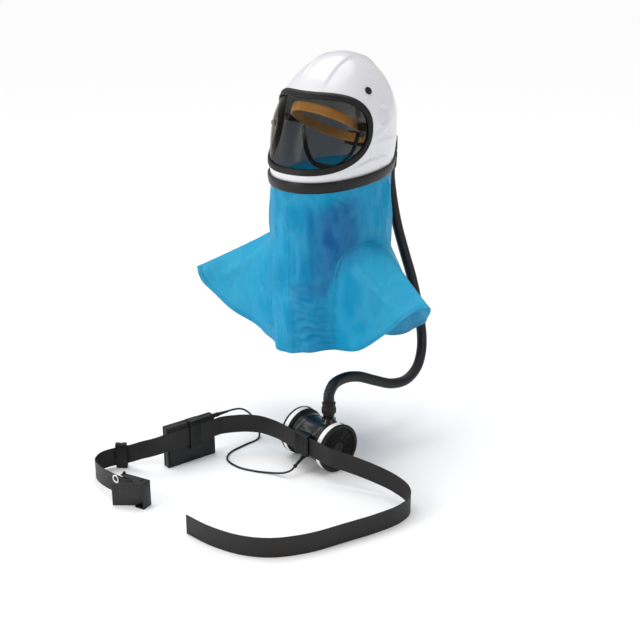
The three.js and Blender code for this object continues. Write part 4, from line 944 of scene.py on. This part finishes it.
def shroud():
    theta = np.radians(np.linspace(-180, 180, CLOTH_COLUMNS, endpoint=False))
    share = np.concatenate([np.linspace(0, 1, TUBE_ROWS + 1), np.linspace(1, 2, SKIRT_ROWS + 1)[1:]])
    tuck = np.stack([shell_point(theta, rim_z(theta) + (BAND_HEIGHT - 4) * (1 - k / TUCK_ROWS),
                                 -FIT_GAP - CLOTH_THICK / 2) for k in range(TUCK_ROWS)], axis=1)
    middle = np.concatenate([tuck, soft_shroud_point(theta[:, None], share[None, :])], axis=1)
    share = np.concatenate([np.zeros(TUCK_ROWS), share])[None, :]
    turn = np.degrees(theta)[:, None]
    normal = np.cross(np.gradient(middle, axis=1), np.roll(middle, -1, 0) - np.roll(middle, 1, 0))
    normal /= np.linalg.norm(normal, axis=-1, keepdims=True)
    free = smooth(share, 0.02, 0.2)
    seams = [away_from(middle, line_on_shroud(line))[0] for line in SEAMS]
    hem, kept = cloth_values(middle, turn, share, seams)
    lift = cloth_lift(middle, turn, share, free, seams) + 0.7 * hem
    middle = middle + normal * (lift * free)[..., None]
    half = CLOTH_THICK / 2
    points, faces = cells_form(middle + normal * half, middle - normal * half, wrap=True)
    values = {key: np.tile(np.broadcast_to(value, lift.shape).ravel(), 2) for key, value in kept.items()}
    cloth = piece("shroud_cloth", points, faces, CLOTH, "shroud_left", "shroud_right", slot="cloth", sharp=70,
                  values=values)


helmet_shell()
visor_gasket()
visor_sheet()
shell_fixings()
neck_band()
shroud()


# Head harness, seen through the visor.

BAND_HALF_WIDTH, BAND_HALF_LENGTH, BAND_CENTRE_Y, BAND_FRONT_Z, BAND_NAPE_Z = 74, 91, -8, -52, -146
SWEATBAND_HEIGHT, SWEATBAND_THICK = 19, 4
TILT = math.atan2(BAND_FRONT_Z - BAND_NAPE_Z, 2 * BAND_HALF_LENGTH)
HARNESS_Z = (BAND_FRONT_Z + BAND_NAPE_Z) / 2
HARNESS_FRAME = Matrix.Translation((0, BAND_CENTRE_Y, HARNESS_Z)) @ Matrix.Rotation(-TILT, 4, "X")
BAND_LONG = BAND_HALF_LENGTH / math.cos(TILT)
ARM_START, ARM_END = BAND_HALF_WIDTH + 1.9, 120.6


def headband():
    t, h = SWEATBAND_THICK / 2, SWEATBAND_HEIGHT / 2
    section = rounded([(-t, -h), (-t - 0.3, 0), (-t, h), (0, h + 1), (t, h), (t + 0.2, h * 0.4), (t, h * 0.2),
                       (t, -h * 0.2),
                       (t + 0.2, -h * 0.4), (t, -h), (0, -h - 1)], 0.8, 3, closed=True)
    a = np.arange(150) * 2 * np.pi / 150
    rings = np.stack([np.stack([(BAND_HALF_WIDTH + out) * np.sin(a), -(BAND_LONG + out) * np.cos(a),
                                np.full(150, up)], -1)
                      for out, up in section], axis=1)
    Heap(HARNESS_FRAME).add(rings_form(rings, closed=True)).piece(
        "sweatband", TAN, "headband", slot="leather", sharp=60)


def ratchet():
    back = BAND_LONG + SWEATBAND_THICK / 2 + FIT_GAP
    inner = [(x, back - BAND_HALF_LENGTH * 0.55 * (1 - math.sqrt(1 - (x / BAND_HALF_WIDTH) ** 2)))
             for x in np.linspace(-26, 26, 13)]
    outer = [(26, back + 4.9), (20, back + 9), (14.3, back + 12.4), (-14.3, back + 12.4), (-20, back + 9),
             (-26, back + 4.9)]
    heap = Heap(HARNESS_FRAME).add(slab(inner + outer, -15, 15, 1.2))
    seat = Matrix.Translation((0, back + 6.9, 0)) @ Matrix.Rotation(-math.pi / 2, 4, "X")
    heap.turn([(0, 0), (11, 0), (11, 5), (9.5, 6.4), (0, 6.4)], 1.0, 72, seat,
              lambda a, r, z: np.where(r > 9, 0.5 * np.cos(18 * a), 0))
    for k in range(5):
        heap.add(block(-24, back + 0.5 + k * 0.9, -13 + k * 6, -20, back + 4.6 + k * 0.3, -10.5 + k * 6, 0.5))
    heap.piece("harness_ratchet", BLACK, "headband_ratchet")


def strap_form(points, side, width, thick, step=2.0, swell=None):
    walk, heading, run = loop_walk(points, step)
    rings, across, along_run = [], [], []
    for k, (p, t) in enumerate(zip(walk, heading)):
        flat = np.array(side, float) - t * np.dot(side, t)
        flat /= np.linalg.norm(flat)
        n = np.cross(t, flat)
        w, h = (width / 2, thick / 2) if swell is None else swell(run[k] / run[-1])
        e = min(h * 0.8, 0.8)
        for u, v in ((w - e, h), (w, h - e), (w, e - h), (w - e, -h), (e - w, -h), (-w, e - h), (-w, h - e),
                     (e - w, h)):
            rings.append(p + flat * u + n * v)
            across.append(u)
            along_run.append(run[k])
    rings = np.array(rings).reshape(len(walk), 8, 3)
    return rings_form(rings), {"across": np.array(across) * MM, "run": np.array(along_run) * MM}


def crown_straps():
    y, w, l = BAND_CENTRE_Y, BAND_HALF_WIDTH, BAND_HALF_LENGTH
    clear = SWEATBAND_HEIGHT / 2 + 1 + FIT_GAP + 1.5
    side = [(-w, y, HARNESS_Z + clear + 5), (-w * 0.74, y + 6, -20), (0, y + 12, 24), (w * 0.74, y + 6, -20),
            (w, y, HARNESS_Z + clear + 5)]
    long = [(0, y + 9 - l, BAND_FRONT_Z + clear - 2), (0, y - l * 0.69, -19), (0, y - l * 0.47, 2),
            (0, y + 12, 24),
            (0, y + l * 0.8, -36), (0, y + l + 6, BAND_NAPE_Z + clear + 2)]
    heap = Heap().add(strap_form(side, (0, 1, 0), 18, 2)[0]).add(strap_form(long, (1, 0, 0), 18, 2)[0])
    heap.turn([(0, 20.5), (11, 20.5), (11, 24.6), (8, 25.6), (0, 25.6)], 0.8, 40, place(0, y + 12))
    heap.piece("cradle_straps", GREY, "crown_straps", slot="harness")


def chin_strap():
    w, y = BAND_HALF_WIDTH, BAND_CENTRE_Y
    top = HARNESS_Z - SWEATBAND_HEIGHT / 2 - 5
    points = [(-w, y, top), (-w * 0.86, y - 8, top - 40), (-w * 0.45, -30, -184), (0, -34, -190),
              (w * 0.45, -30, -184),
              (w * 0.86, y - 8, top - 40), (w, y, top)]

    def swell(s):
        cup = float(np.clip(1 - abs(s - 0.5) / 0.13, 0, 1)) ** 0.6
        return (14.4 + (26 - 14.4) * cup) / 2, (2 + 4 * cup) / 2

    form, values = strap_form(points, (0, 1, 0), 14.4, 2, 2.0, swell)
    piece("chin_web", *form, CHIN_WEB, "chin_strap", slot="webbing", sharp=50, values=values)


def carrying_arms():
    def bar(sign, start, end, half, half_height, edge):
        a, b = sorted((sign * start, sign * end))
        y, z = BAND_CENTRE_Y, HARNESS_Z
        return block(a, y - half, z - half_height, b, y + half, z + half_height, edge)

    for side, sign in (("left", 1), ("right", -1)):
        heap = Heap().add(bar(sign, ARM_START, ARM_END, 7, 7, 1.6))
        for x in (84, 92, 100, 108):
            heap.add(bar(sign, x, x + 2.5, 8.2, 8, 0.7))
        heap.piece(f"carrying_arm_{side}", BLACK, f"harness_arm_{side}")


# Air duct behind the shell, and the hose's cuff.

INLET_X, INLET_Y = 25, 184.5
DUCT_HALF, DUCT_PROUD, DUCT_TOP_Z, DUCT_LOW_Z = 55, 18, -62, -166


def air_duct():
    half = math.asin(DUCT_HALF / SHELL_HALF_WIDTH)
    cols, rows = 60, 52
    u, v = np.arange(cols + 1)[:, None] / cols, np.arange(rows + 1)[None, :] / rows
    theta = np.pi - (-half + 2 * half * u) + 0 * v
    z = DUCT_TOP_Z + (DUCT_LOW_Z - DUCT_TOP_Z) * v + 0 * u
    edge = smooth(np.minimum(u, 1 - u) * 6, 0, 1.9)
    end = smooth(np.minimum(v, 1 - v) * 5, 0, 1.0)
    louvre = 0.8 * np.cos(v * 2 * np.pi * 11) * smooth(np.minimum(u, 1 - u), 0.2,
                                                       0.26) * smooth(np.minimum(v, 1 - v), 0.1, 0.16)
    out = 3.9 + (DUCT_PROUD - 3) * edge * (0.35 + 0.65 * end) + louvre
    heap = Heap().add(cells_form(shell_point(theta, z, -out), shell_point(theta, z, -0.9)))
    heap.turn([(0, -196), (15.4, -196), (16, -195), (16, -190), (15.2, -189), (15.2, -186), (16, -185),
               (16, -156),
               (10, -144), (0, -144)], 0.8, 56, place(INLET_X, INLET_Y))
    heap.add(block(INLET_X - 15, INLET_Y - 38, -165, INLET_X + 15, INLET_Y - 4, -150, 2.5))
    heap.piece("rear_duct", BLACK, "air_duct", sharp=45)


def hose_cuff():
    profile = [(0, -226), (13.4, -226), (14, -225), (14.4, -221)]
    for k in range(5):
        z = -219 + 3.4 * k
        profile += [(14.9 + 0.2 * k, z), (14.9 + 0.2 * k, z + 1.4), (14.2 + 0.2 * k, z + 1.9),
                    (14.2 + 0.2 * k, z + 2.9)]
    profile += [(16, -201), (16, -197.2), (15.2, -196.3), (0, -196.3)]
    Heap().turn(profile, 0.4, 56, place(INLET_X, INLET_Y)).piece("cuff", RUBBER, "hose_cuff")


# Blower, filters and their clip, in the blower's own frame.

FILTER_R, DRUM_R, DRUM_HALF, FACE_HALF = 53.5, 47, 42, 67
BLOWER = place(96.3, -173.3, GROUND_Z + FILTER_R, -10.95)
OUTLET_X, OUTLET_Y, OUTLET_TOP, COUPLING_TOP = 23, 9, 120 - FILTER_R, 146 - FILTER_R


def blower():
    half = DRUM_HALF
    profile = [(0, -half), (DRUM_R - 3, -half), (DRUM_R, -half + 2), (DRUM_R, -half + 6),
               (DRUM_R - 1.2, -half + 7),
               (DRUM_R - 1.2, -half + 8.4), (DRUM_R, -half + 9.4), (DRUM_R, -22), (DRUM_R - 1.6, -21),
               (DRUM_R - 1.6, 20),
               (DRUM_R, 21), (DRUM_R, half - 9.4), (DRUM_R - 1.2, half - 8.4), (DRUM_R - 1.2, half - 7),
               (DRUM_R, half - 6), (DRUM_R, half - 2), (DRUM_R - 3, half), (0, half)]
    heap = Heap(BLOWER).turn(profile, 0.7, 112, ALONG_X)
    for angle in (-64, -38, 24, 52):
        bar = block(-20.5, -1.4, DRUM_R - 3, 19.5, 1.4, DRUM_R - 0.4, 0.6)
        heap.add(bar, Matrix.Rotation(math.radians(angle), 4, "X"))
    neck = [(0, 20), (19, 20), (19, DRUM_R - 4), (17, DRUM_R), (14.6, DRUM_R + 3.6), (13.2, DRUM_R + 7),
            (12.5, DRUM_R + 8),
            (12.5, OUTLET_TOP - 3), (13.2, OUTLET_TOP - 2.4), (13.2, OUTLET_TOP - 0.6), (12.6, OUTLET_TOP),
            (0, OUTLET_TOP)]
    heap.turn(neck, 0.8, 56, place(OUTLET_X, OUTLET_Y))
    for k in range(6):
        fin = block(10, -0.9, DRUM_R - 5, 17.2, 0.9, DRUM_R + 5.4, 0.5)
        heap.add(fin, place(OUTLET_X, OUTLET_Y, 0, 60 * k + 15))
    heap.piece("blower_drum", SATIN, "blower_body", sharp=40)


def coupling():
    low, high = OUTLET_TOP + FIT_GAP, COUPLING_TOP
    profile = rounded([(0, low), (14, low), (15.5, low + 2.2), (15.5, low + 12.7), (14.3, low + 14.7),
                       (14.3, low + 21.7),
                       (15.3, high - 2.4), (13.5, high), (0, high)], 0.6, 3)

    def ridges(a, r, z):
        return 0.42 * np.cos(22 * a) if r > 14.9 and z < low + 13.5 else np.zeros_like(a)

    full = [(0, low)]
    for (r0, z0), (r1, z1) in zip(profile, profile[1:]):
        shares = (0.5, 1.0) if abs(z1 - z0) > 4 else (1.0,)
        full += [(r0 + (r1 - r0) * t, z0 + (z1 - z0) * t) for t in shares]
    Heap(BLOWER).add(turned(full, 132, ridges), place(OUTLET_X, OUTLET_Y)).piece(
        "hose_connector", BLACK, "hose_coupling", sharp=45)


def canisters():
    face, start = FACE_HALF, DRUM_HALF + FIT_GAP
    body = [(0, start), (DRUM_R - 3, start), (DRUM_R + 2, start + 2.6), (DRUM_R + 2.6, start + 3.2),
            (FILTER_R - 1.4, start + 4.6),
            (FILTER_R - 1, start + 5.6), (FILTER_R - 1, face - 6.2), (FILTER_R - 0.2, face - 5.6),
            (FILTER_R, face - 4.6),
            (FILTER_R, face - 1.2), (FILTER_R - 1.2, face), (FILTER_R - 6.8, face),
            (FILTER_R - 8.2, face - 1.2), (FILTER_R - 10, face - 5.4)]
    for r in (39.5, 34.5, 29.5, 24.5, 19.5):
        body += [(r + 1.2, face - 5.4), (r + 0.7, face - 3.0), (r - 0.7, face - 3.0), (r - 1.2, face - 5.4)]
    body += [(14.5, face - 5.4), (13.6, face - 2.9), (12.2, face - 2.5), (4, face - 2.5), (3, face - 3.2),
             (0, face - 3.2)]

    def knurl(a, r, z):
        return 0.22 * np.cos(72 * a) if r > FILTER_R - 0.8 else np.zeros_like(a)

    for side, seat, sign in (("left", ALONG_X, 1), ("right", ALONG_MINUS_X, -1)):
        heap = Heap(BLOWER).turn(body, 0.45, 216, seat, knurl)
        for k in range(12):
            spoke = block(14, -0.7, face - 5.6, 43.6, 0.7, face - 3.6, 0.3)
            heap.add(spoke, seat @ Matrix.Rotation(math.radians(30 * k + 8), 4, "Z"))
        heap.piece(f"canister_{side}", DEEP, f"filter_{side}", sharp=40)
        rings = []
        r0 = FILTER_R - 1 + FIT_GAP
        for a in np.radians(np.linspace(-195, -45, 91)):
            rings.append([(sign * x, r * math.sin(a), -r * math.cos(a)) for r, x in (
                (r0, face - 17.7), (r0, face - 6.7), (r0 + 0.42, face - 6.5), (r0 + 0.6, face - 6.9),
                (r0 + 0.6, face - 17.5), (r0 + 0.42, face - 17.9))])
        Heap(BLOWER).add(rings_form(rings)).piece(
            f"canister_label_{side}", LABEL, f"filter_label_{side}", slot="label")


BELT_WIDTH, BELT_THICK, CLIP_WIDTH, CLIP_START, CLIP_LOW, CLIP_LIFT = 42, 2.4, 44, -11, -13, 42.5
BELT_Y = -(FILTER_R + FIT_GAP + BELT_THICK / 2 + 0.2)


def clip_on_belt():
    inside, outside = BELT_Y + BELT_THICK / 2 + FIT_GAP, BELT_Y - BELT_THICK / 2 - FIT_GAP
    top = CLIP_LIFT + BELT_WIDTH - FILTER_R + FIT_GAP
    hook = [(-DRUM_R - FIT_GAP, CLIP_LOW), (-DRUM_R - FIT_GAP, top + 4), (outside - 2.5, top + 4),
            (outside - 4.2, top + 2.6),
            (outside - 4.2, CLIP_LOW), (outside, CLIP_LOW), (outside, top), (inside, top), (inside, CLIP_LOW)]
    turn = Matrix(((0, 0, 1, 0), (1, 0, 0, 0), (0, 1, 0, 0), (0, 0, 0, 1)))
    heap = Heap(BLOWER).add(slab(hook, CLIP_START, CLIP_START + CLIP_WIDTH, 0.5), turn)
    for k in range(9):
        x = CLIP_START + 4 + 4.3 * k
        heap.add(block(x, outside - 4.8, CLIP_LOW + 8, x + 1.9, outside - 3.9, top - 2, 0.4))
    heap.add(block(CLIP_START + 1.5, outside - 5.6, CLIP_LOW, CLIP_START + CLIP_WIDTH - 1.5, outside - 3.8,
                   CLIP_LOW + 4.5, 0.9))
    heap.piece("belt_clip", BLACK, "blower_clip")


def power_plug():
    start, end = np.array((98.5, -222.6, -776.4)), np.array(CABLE_POINTS[-1])
    run = end - start
    long = np.linalg.norm(run) - FIT_GAP
    seat = Matrix.Translation(start) @ Vector((0, 0, 1)).rotation_difference(Vector(run)).to_matrix().to_4x4()
    profile = [(0, 0), (5.4, 0), (5.4, 9), (4.2, 11)]
    steps = 7
    for k in range(steps):
        z = 12 + (long - 18) * k / steps
        r = 4.0 - 1.1 * k / steps
        profile += [(r, z), (r, z + 1.6), (r - 0.6, z + 2.0), (r - 0.6, z + 2.6)]
    profile += [(2.8, long - 5), (4.4, long - 4), (4.4, long - 0.6), (3.8, long), (0, long)]
    Heap().turn(profile, 0.3, 40, seat).piece("blower_lead_plug", BLACK, "blower_plug")
    ring = rounded([(5.45, 2.4), (5.9, 2.4), (5.9, 5.6), (5.45, 5.6)], 0.2, 3, closed=True)
    Heap().add(ring_turned(ring, 40), seat).piece("plug_ring", GREY)


# Battery with its hook and plug.

BATTERY_LONG, BATTERY_THICK, BATTERY_HIGH, BATTERY_LIFT = 122, 20, 95, 43
BATTERY = place(-121.5, -346.5, GROUND_Z, 76.3)


def battery():
    h = BATTERY_LONG / 2
    heap = Heap(BATTERY).add(block(-h + 0.8, 0.8, 0.8, h - 0.8, BATTERY_THICK - 0.8, BATTERY_HIGH - 0.8, 2))
    heap.add(block(-h, 0, 0, h, 11.6, BATTERY_HIGH, 2.4, 4))
    heap.add(block(-h, 12.2, 0, h, BATTERY_THICK, BATTERY_HIGH, 2.4, 4))
    heap.add(block(-h + 2, 0, 6, -h + 5, 0.5, BATTERY_HIGH - 6, 0.2))
    heap.piece("battery_pack", BLACK, "battery_case")
    outer = -(2 * FIT_GAP + BELT_THICK)
    top = BATTERY_LIFT + BELT_WIDTH + FIT_GAP
    heap = Heap(BATTERY).add(block(-6, outer - 4, 30, 22, outer, BATTERY_HIGH + 2.5, 1.4))
    heap.add(block(-6, outer - 4, BATTERY_HIGH + FIT_GAP, 22, 14, BATTERY_HIGH + 3.2, 0.8))
    heap.add(block(-6, outer - 4, top, 22, -FIT_GAP, BATTERY_HIGH + 3, 0.8))
    for k in range(11):
        z = 34 + 5.2 * k
        heap.add(block(-4.4 + 0.1 * k, outer - 4.7, z, 20.4 - 0.1 * k, outer - 3.6, z + 2.0, 0.45))
    heap.piece("battery_hook", BLACK, "battery_clip")
    profile = [(0, 0), (4.6, 0), (5, 0.5), (5, 12), (4.4, 14)]
    for k in range(6):
        z, r = 15 + 3.5 * k, 4.0 - 0.2 * k
        profile += [(r, z), (r, z + 1.7), (r - 0.6, z + 2.1), (r - 0.6, z + 3.0)]
    profile += [(2.8, 36.5), (2.6, 38), (0, 38)]
    seat = place(h + FIT_GAP, 5, BATTERY_HIGH - 5) @ ALONG_X
    Heap(BATTERY).turn(profile, 0.3, 36, seat).piece("battery_lead_plug", BLACK, "battery_plug")


# Belt.

def seen_from_above(matrix, x, y):
    p = matrix @ Vector((x, y, 0))
    return p.x, p.y


BUCKLE_LONG, BUCKLE_HIGH, BUCKLE_DEEP, BUCKLE_OPEN = 68, 56, 24, 29
BUCKLE, PIN_PLACE = place(-51.5, -541, GROUND_Z, 9.5), (-16, -7.5)
BATTERY_SIDE = -(FIT_GAP + BELT_THICK / 2)
BELT_PLAN = ([(86, -577, 0), (151, -581, 0), (218, -571, 0), (271, -543, 0), (316, -487, 0), (350, -410, 0),
              (376, -345, 0),
              (390, -290, 0), (385, -245, 0), (362, -219, 5), (325, -213, 14), (280, -219, 24),
              (225, -233, 35)]
             + [(*seen_from_above(BLOWER, x, BELT_Y), lift) for x, lift in (
                 (98, CLIP_LIFT), (80, CLIP_LIFT), (40, CLIP_LIFT), (0, CLIP_LIFT), (-40, CLIP_LIFT),
                 (-80, CLIP_LIFT))]
             + [(-40, -213.5, 42), (-70, -231, 42.5)]
             + [(*seen_from_above(BATTERY, x, BATTERY_SIDE), lift) for x, lift in (
                 (78, BATTERY_LIFT), (62, BATTERY_LIFT), (20, BATTERY_LIFT), (-20, BATTERY_LIFT),
                 (-62, BATTERY_LIFT),
                 (-76, BATTERY_LIFT - 1))]
             + [(-158, -432, 33), (-182, -440, 23), (-204, -451, 13), (-236, -477, 4), (-244, -500, 2),
                (-234, -525, 1),
                (-212, -540, 3), (-180, -552, 6), (-150, -557, 8)]
             + [(*seen_from_above(BUCKLE, x, -5), 8) for x in (-72, -50, -26)])
BELT_WALK, BELT_HEADING, BELT_RUN = loop_walk([(x, y, GROUND_Z + lift) for x, y, lift in BELT_PLAN], 3.0)


def belt():
    e, t, w = 0.7, BELT_THICK / 2, BELT_WIDTH
    section = [(t, e), (t, w * 0.06), (t * 0.86, w * 0.09), (t * 0.86, w * 0.91), (t, w * 0.94), (t, w - e),
               (t - e, w),
               (e - t, w), (-t, w - e), (-t, w * 0.94), (-t * 0.86, w * 0.91), (-t * 0.86, w * 0.09),
               (-t, w * 0.06),
               (-t, e), (e - t, 0), (t - e, 0)]
    rings, across, run = [], [], []
    for p, d, at in zip(BELT_WALK, BELT_HEADING, BELT_RUN):
        n = np.array((-d[1], d[0], 0)) / math.hypot(d[0], d[1])
        for out, up in section:
            rings.append(p + n * out + np.array((0, 0, up)))
            across.append(up - w / 2)
            run.append(at)
    rings = np.array(rings).reshape(len(BELT_WALK), len(section), 3)
    piece("belt_strap", *rings_form(rings), BELT_WEB, "belt", slot="webbing", sharp=50,
          values={"across": np.array(across) * MM, "run": np.array(run) * MM})


def beside_belt(x, y, lift):
    k = int(np.argmin(np.hypot(BELT_WALK[:, 0] - x, BELT_WALK[:, 1] - y)))
    d = BELT_HEADING[k]
    p = BELT_WALK[k]
    return place(p[0], p[1], p[2] + lift, math.degrees(math.atan2(d[1], d[0])))


def loop_outline(half, low, high, r, count=10):
    points = []
    for cx, cz, start in ((half - r, high - r, 0), (r - half, high - r, 90), (r - half, low + r, 180),
                          (half - r, low + r, 270)):
        for a in np.radians(np.linspace(start, start + 90, count)):
            points.append((cx + r * math.cos(a), cz + r * math.sin(a)))
    return np.array(points)


def belt_keeper():
    outer, inner = loop_outline(6.7, -8, BELT_WIDTH + 9, 5), loop_outline(3.8, -3.2, BELT_WIDTH + 3.2, 2.2)
    spans = ((-12, 0.9), (-11.1, 0), (-4, 0), (-2.5, 0.8), (2.5, 0.8), (4, 0), (11.1, 0), (12, 0.9))

    def grid(outline, sign):
        middle = outline.mean(axis=0)
        away = (outline - middle) / np.linalg.norm(outline - middle, axis=1)[:, None]
        return np.stack([np.column_stack([np.full(len(outline), x), outline - away * ease * sign]) for x,
                         ease in spans], axis=1)

    form = cells_form(grid(outer, 1), grid(inner, 0), wrap=True)
    Heap().add(form, beside_belt(-221, -463, 0)).piece("keeper_loop", BLACK, "belt_keeper")


def belt_eyelet():
    seat = beside_belt(-132, -560, BELT_WIDTH * 0.78) @ Matrix.Rotation(math.pi / 2, 4, "X")
    z = BELT_THICK / 2 + FIT_GAP
    section = rounded([(5.5, z), (9.5, z), (9.3, z + 0.7), (8, z + 1.2), (6.4, z + 1.0), (5.6, z + 0.4)], 0.4,
                      4, closed=True)
    Heap().add(ring_turned(section, 56), seat).piece("eyelet_ring", STEEL, "belt_eyelet", slot="steel")


# Buckle.

def buckle():
    long, high, deep = BUCKLE_LONG, BUCKLE_HIGH, BUCKLE_DEEP
    axis = place(*PIN_PLACE)
    heap = Heap(BUCKLE).add(block(-long + 8, 0, 0, 0, 2, high, 0.7))
    cheek = [(0, 2), (-long + 1, 2), (-long, 1), (-long, -7), (-long + 1.5, -8.2), (-long * 0.5, -12),
             (-22, -deep + 1), (-20, -deep), (-1, -deep), (0, -deep + 1)]
    heap.add(slab(cheek, 0, 2.2, 0.45)).add(slab(cheek, high - 2.2, high, 0.45))
    heap.add(block(-2, -deep, 0, 0, 1, high, 0.6))
    heap.turn([(0, 0), (3.4, 0), (3.4, high - 0.3), (2.6, high), (2.6, high + 1), (3.4, high + 1.6),
               (3.4, high + 3),
               (2.4, high + 4), (0, high + 4)], 0.4, 32, place(4 - long, 0))
    for base, shoulder, crown in ((0, 0.8, 1.1), (high - 0.3, 1.2, 1.8)):
        heap.turn([(0, base), (4.4, base), (4.4, base + shoulder), (3.6, base + crown), (0, base + crown)],
                  0.3, 32, axis)
    heap.piece("buckle_channel", BLACK, "buckle_frame")
    pin = [(0, 2.5), (2.3, 2.5), (2.6, 2.9), (2.6, high - 2.9), (2.3, high - 2.5), (0, high - 2.5)]
    Heap(BUCKLE).turn(pin, 0.2, 32, axis).piece("flap_pin", STEEL, "buckle_pin", slot="steel")
    low, top = 2.8, high - 2.8
    flap = axis @ Matrix.Rotation(math.radians(BUCKLE_OPEN), 4, "Z")
    barrel = rounded([(2.9, low), (5.1, low), (5.1, top), (2.9, top)], 0.4, 3, closed=True)
    heap = Heap(BUCKLE @ flap).add(ring_turned(barrel, 48))
    heap.add(block(-59, -8.9, low, 6.6, -6.7, top, 0.7)).add(block(-2.5, -7.8, low, 2.5, -3.5, top, 0.4))
    heap.add(block(-59, -8.9, low, -57.2, -4.9, top, 0.6))
    for k in range(4):
        heap.add(block(-56 + 2.6 * k, -9.35, low + 5, -54.8 + 2.6 * k, -8.6, top - 5, 0.3))
    for z0, z1 in ((low + 3, low + 4), (top - 4, top - 3)):
        heap.add(block(-42, -9.15, z0, 2, -8.7, z1, 0.2))
    heap.piece("buckle_lever", SATIN, "buckle_flap", body="buckle_flap")


FLOOR_HALF = 40


def floor():
    mesh = bpy.data.meshes.new("floor")
    corners = [(x * FLOOR_HALF, y * FLOOR_HALF, GROUND_Z * MM) for x,
               y in ((-1, -1), (1, -1), (1, 1), (-1, 1))]
    mesh.from_pydata(corners, [], [(0, 1, 2, 3)])
    paper = Finish("floor_paper", (0.96, 0.96, 0.96, 1), 0.9)
    paper.put("Roughness", 0.85 + paper.noise(3, 2) * 0.1)
    mesh.materials.append(paper.material)
    stand("floor", mesh)


for build in (headband, ratchet, crown_straps, chin_strap, carrying_arms, air_duct, hose_cuff, blower,
              coupling,
              canisters, clip_on_belt, power_plug, battery, belt, belt_keeper, belt_eyelet, buckle, floor):
    build()
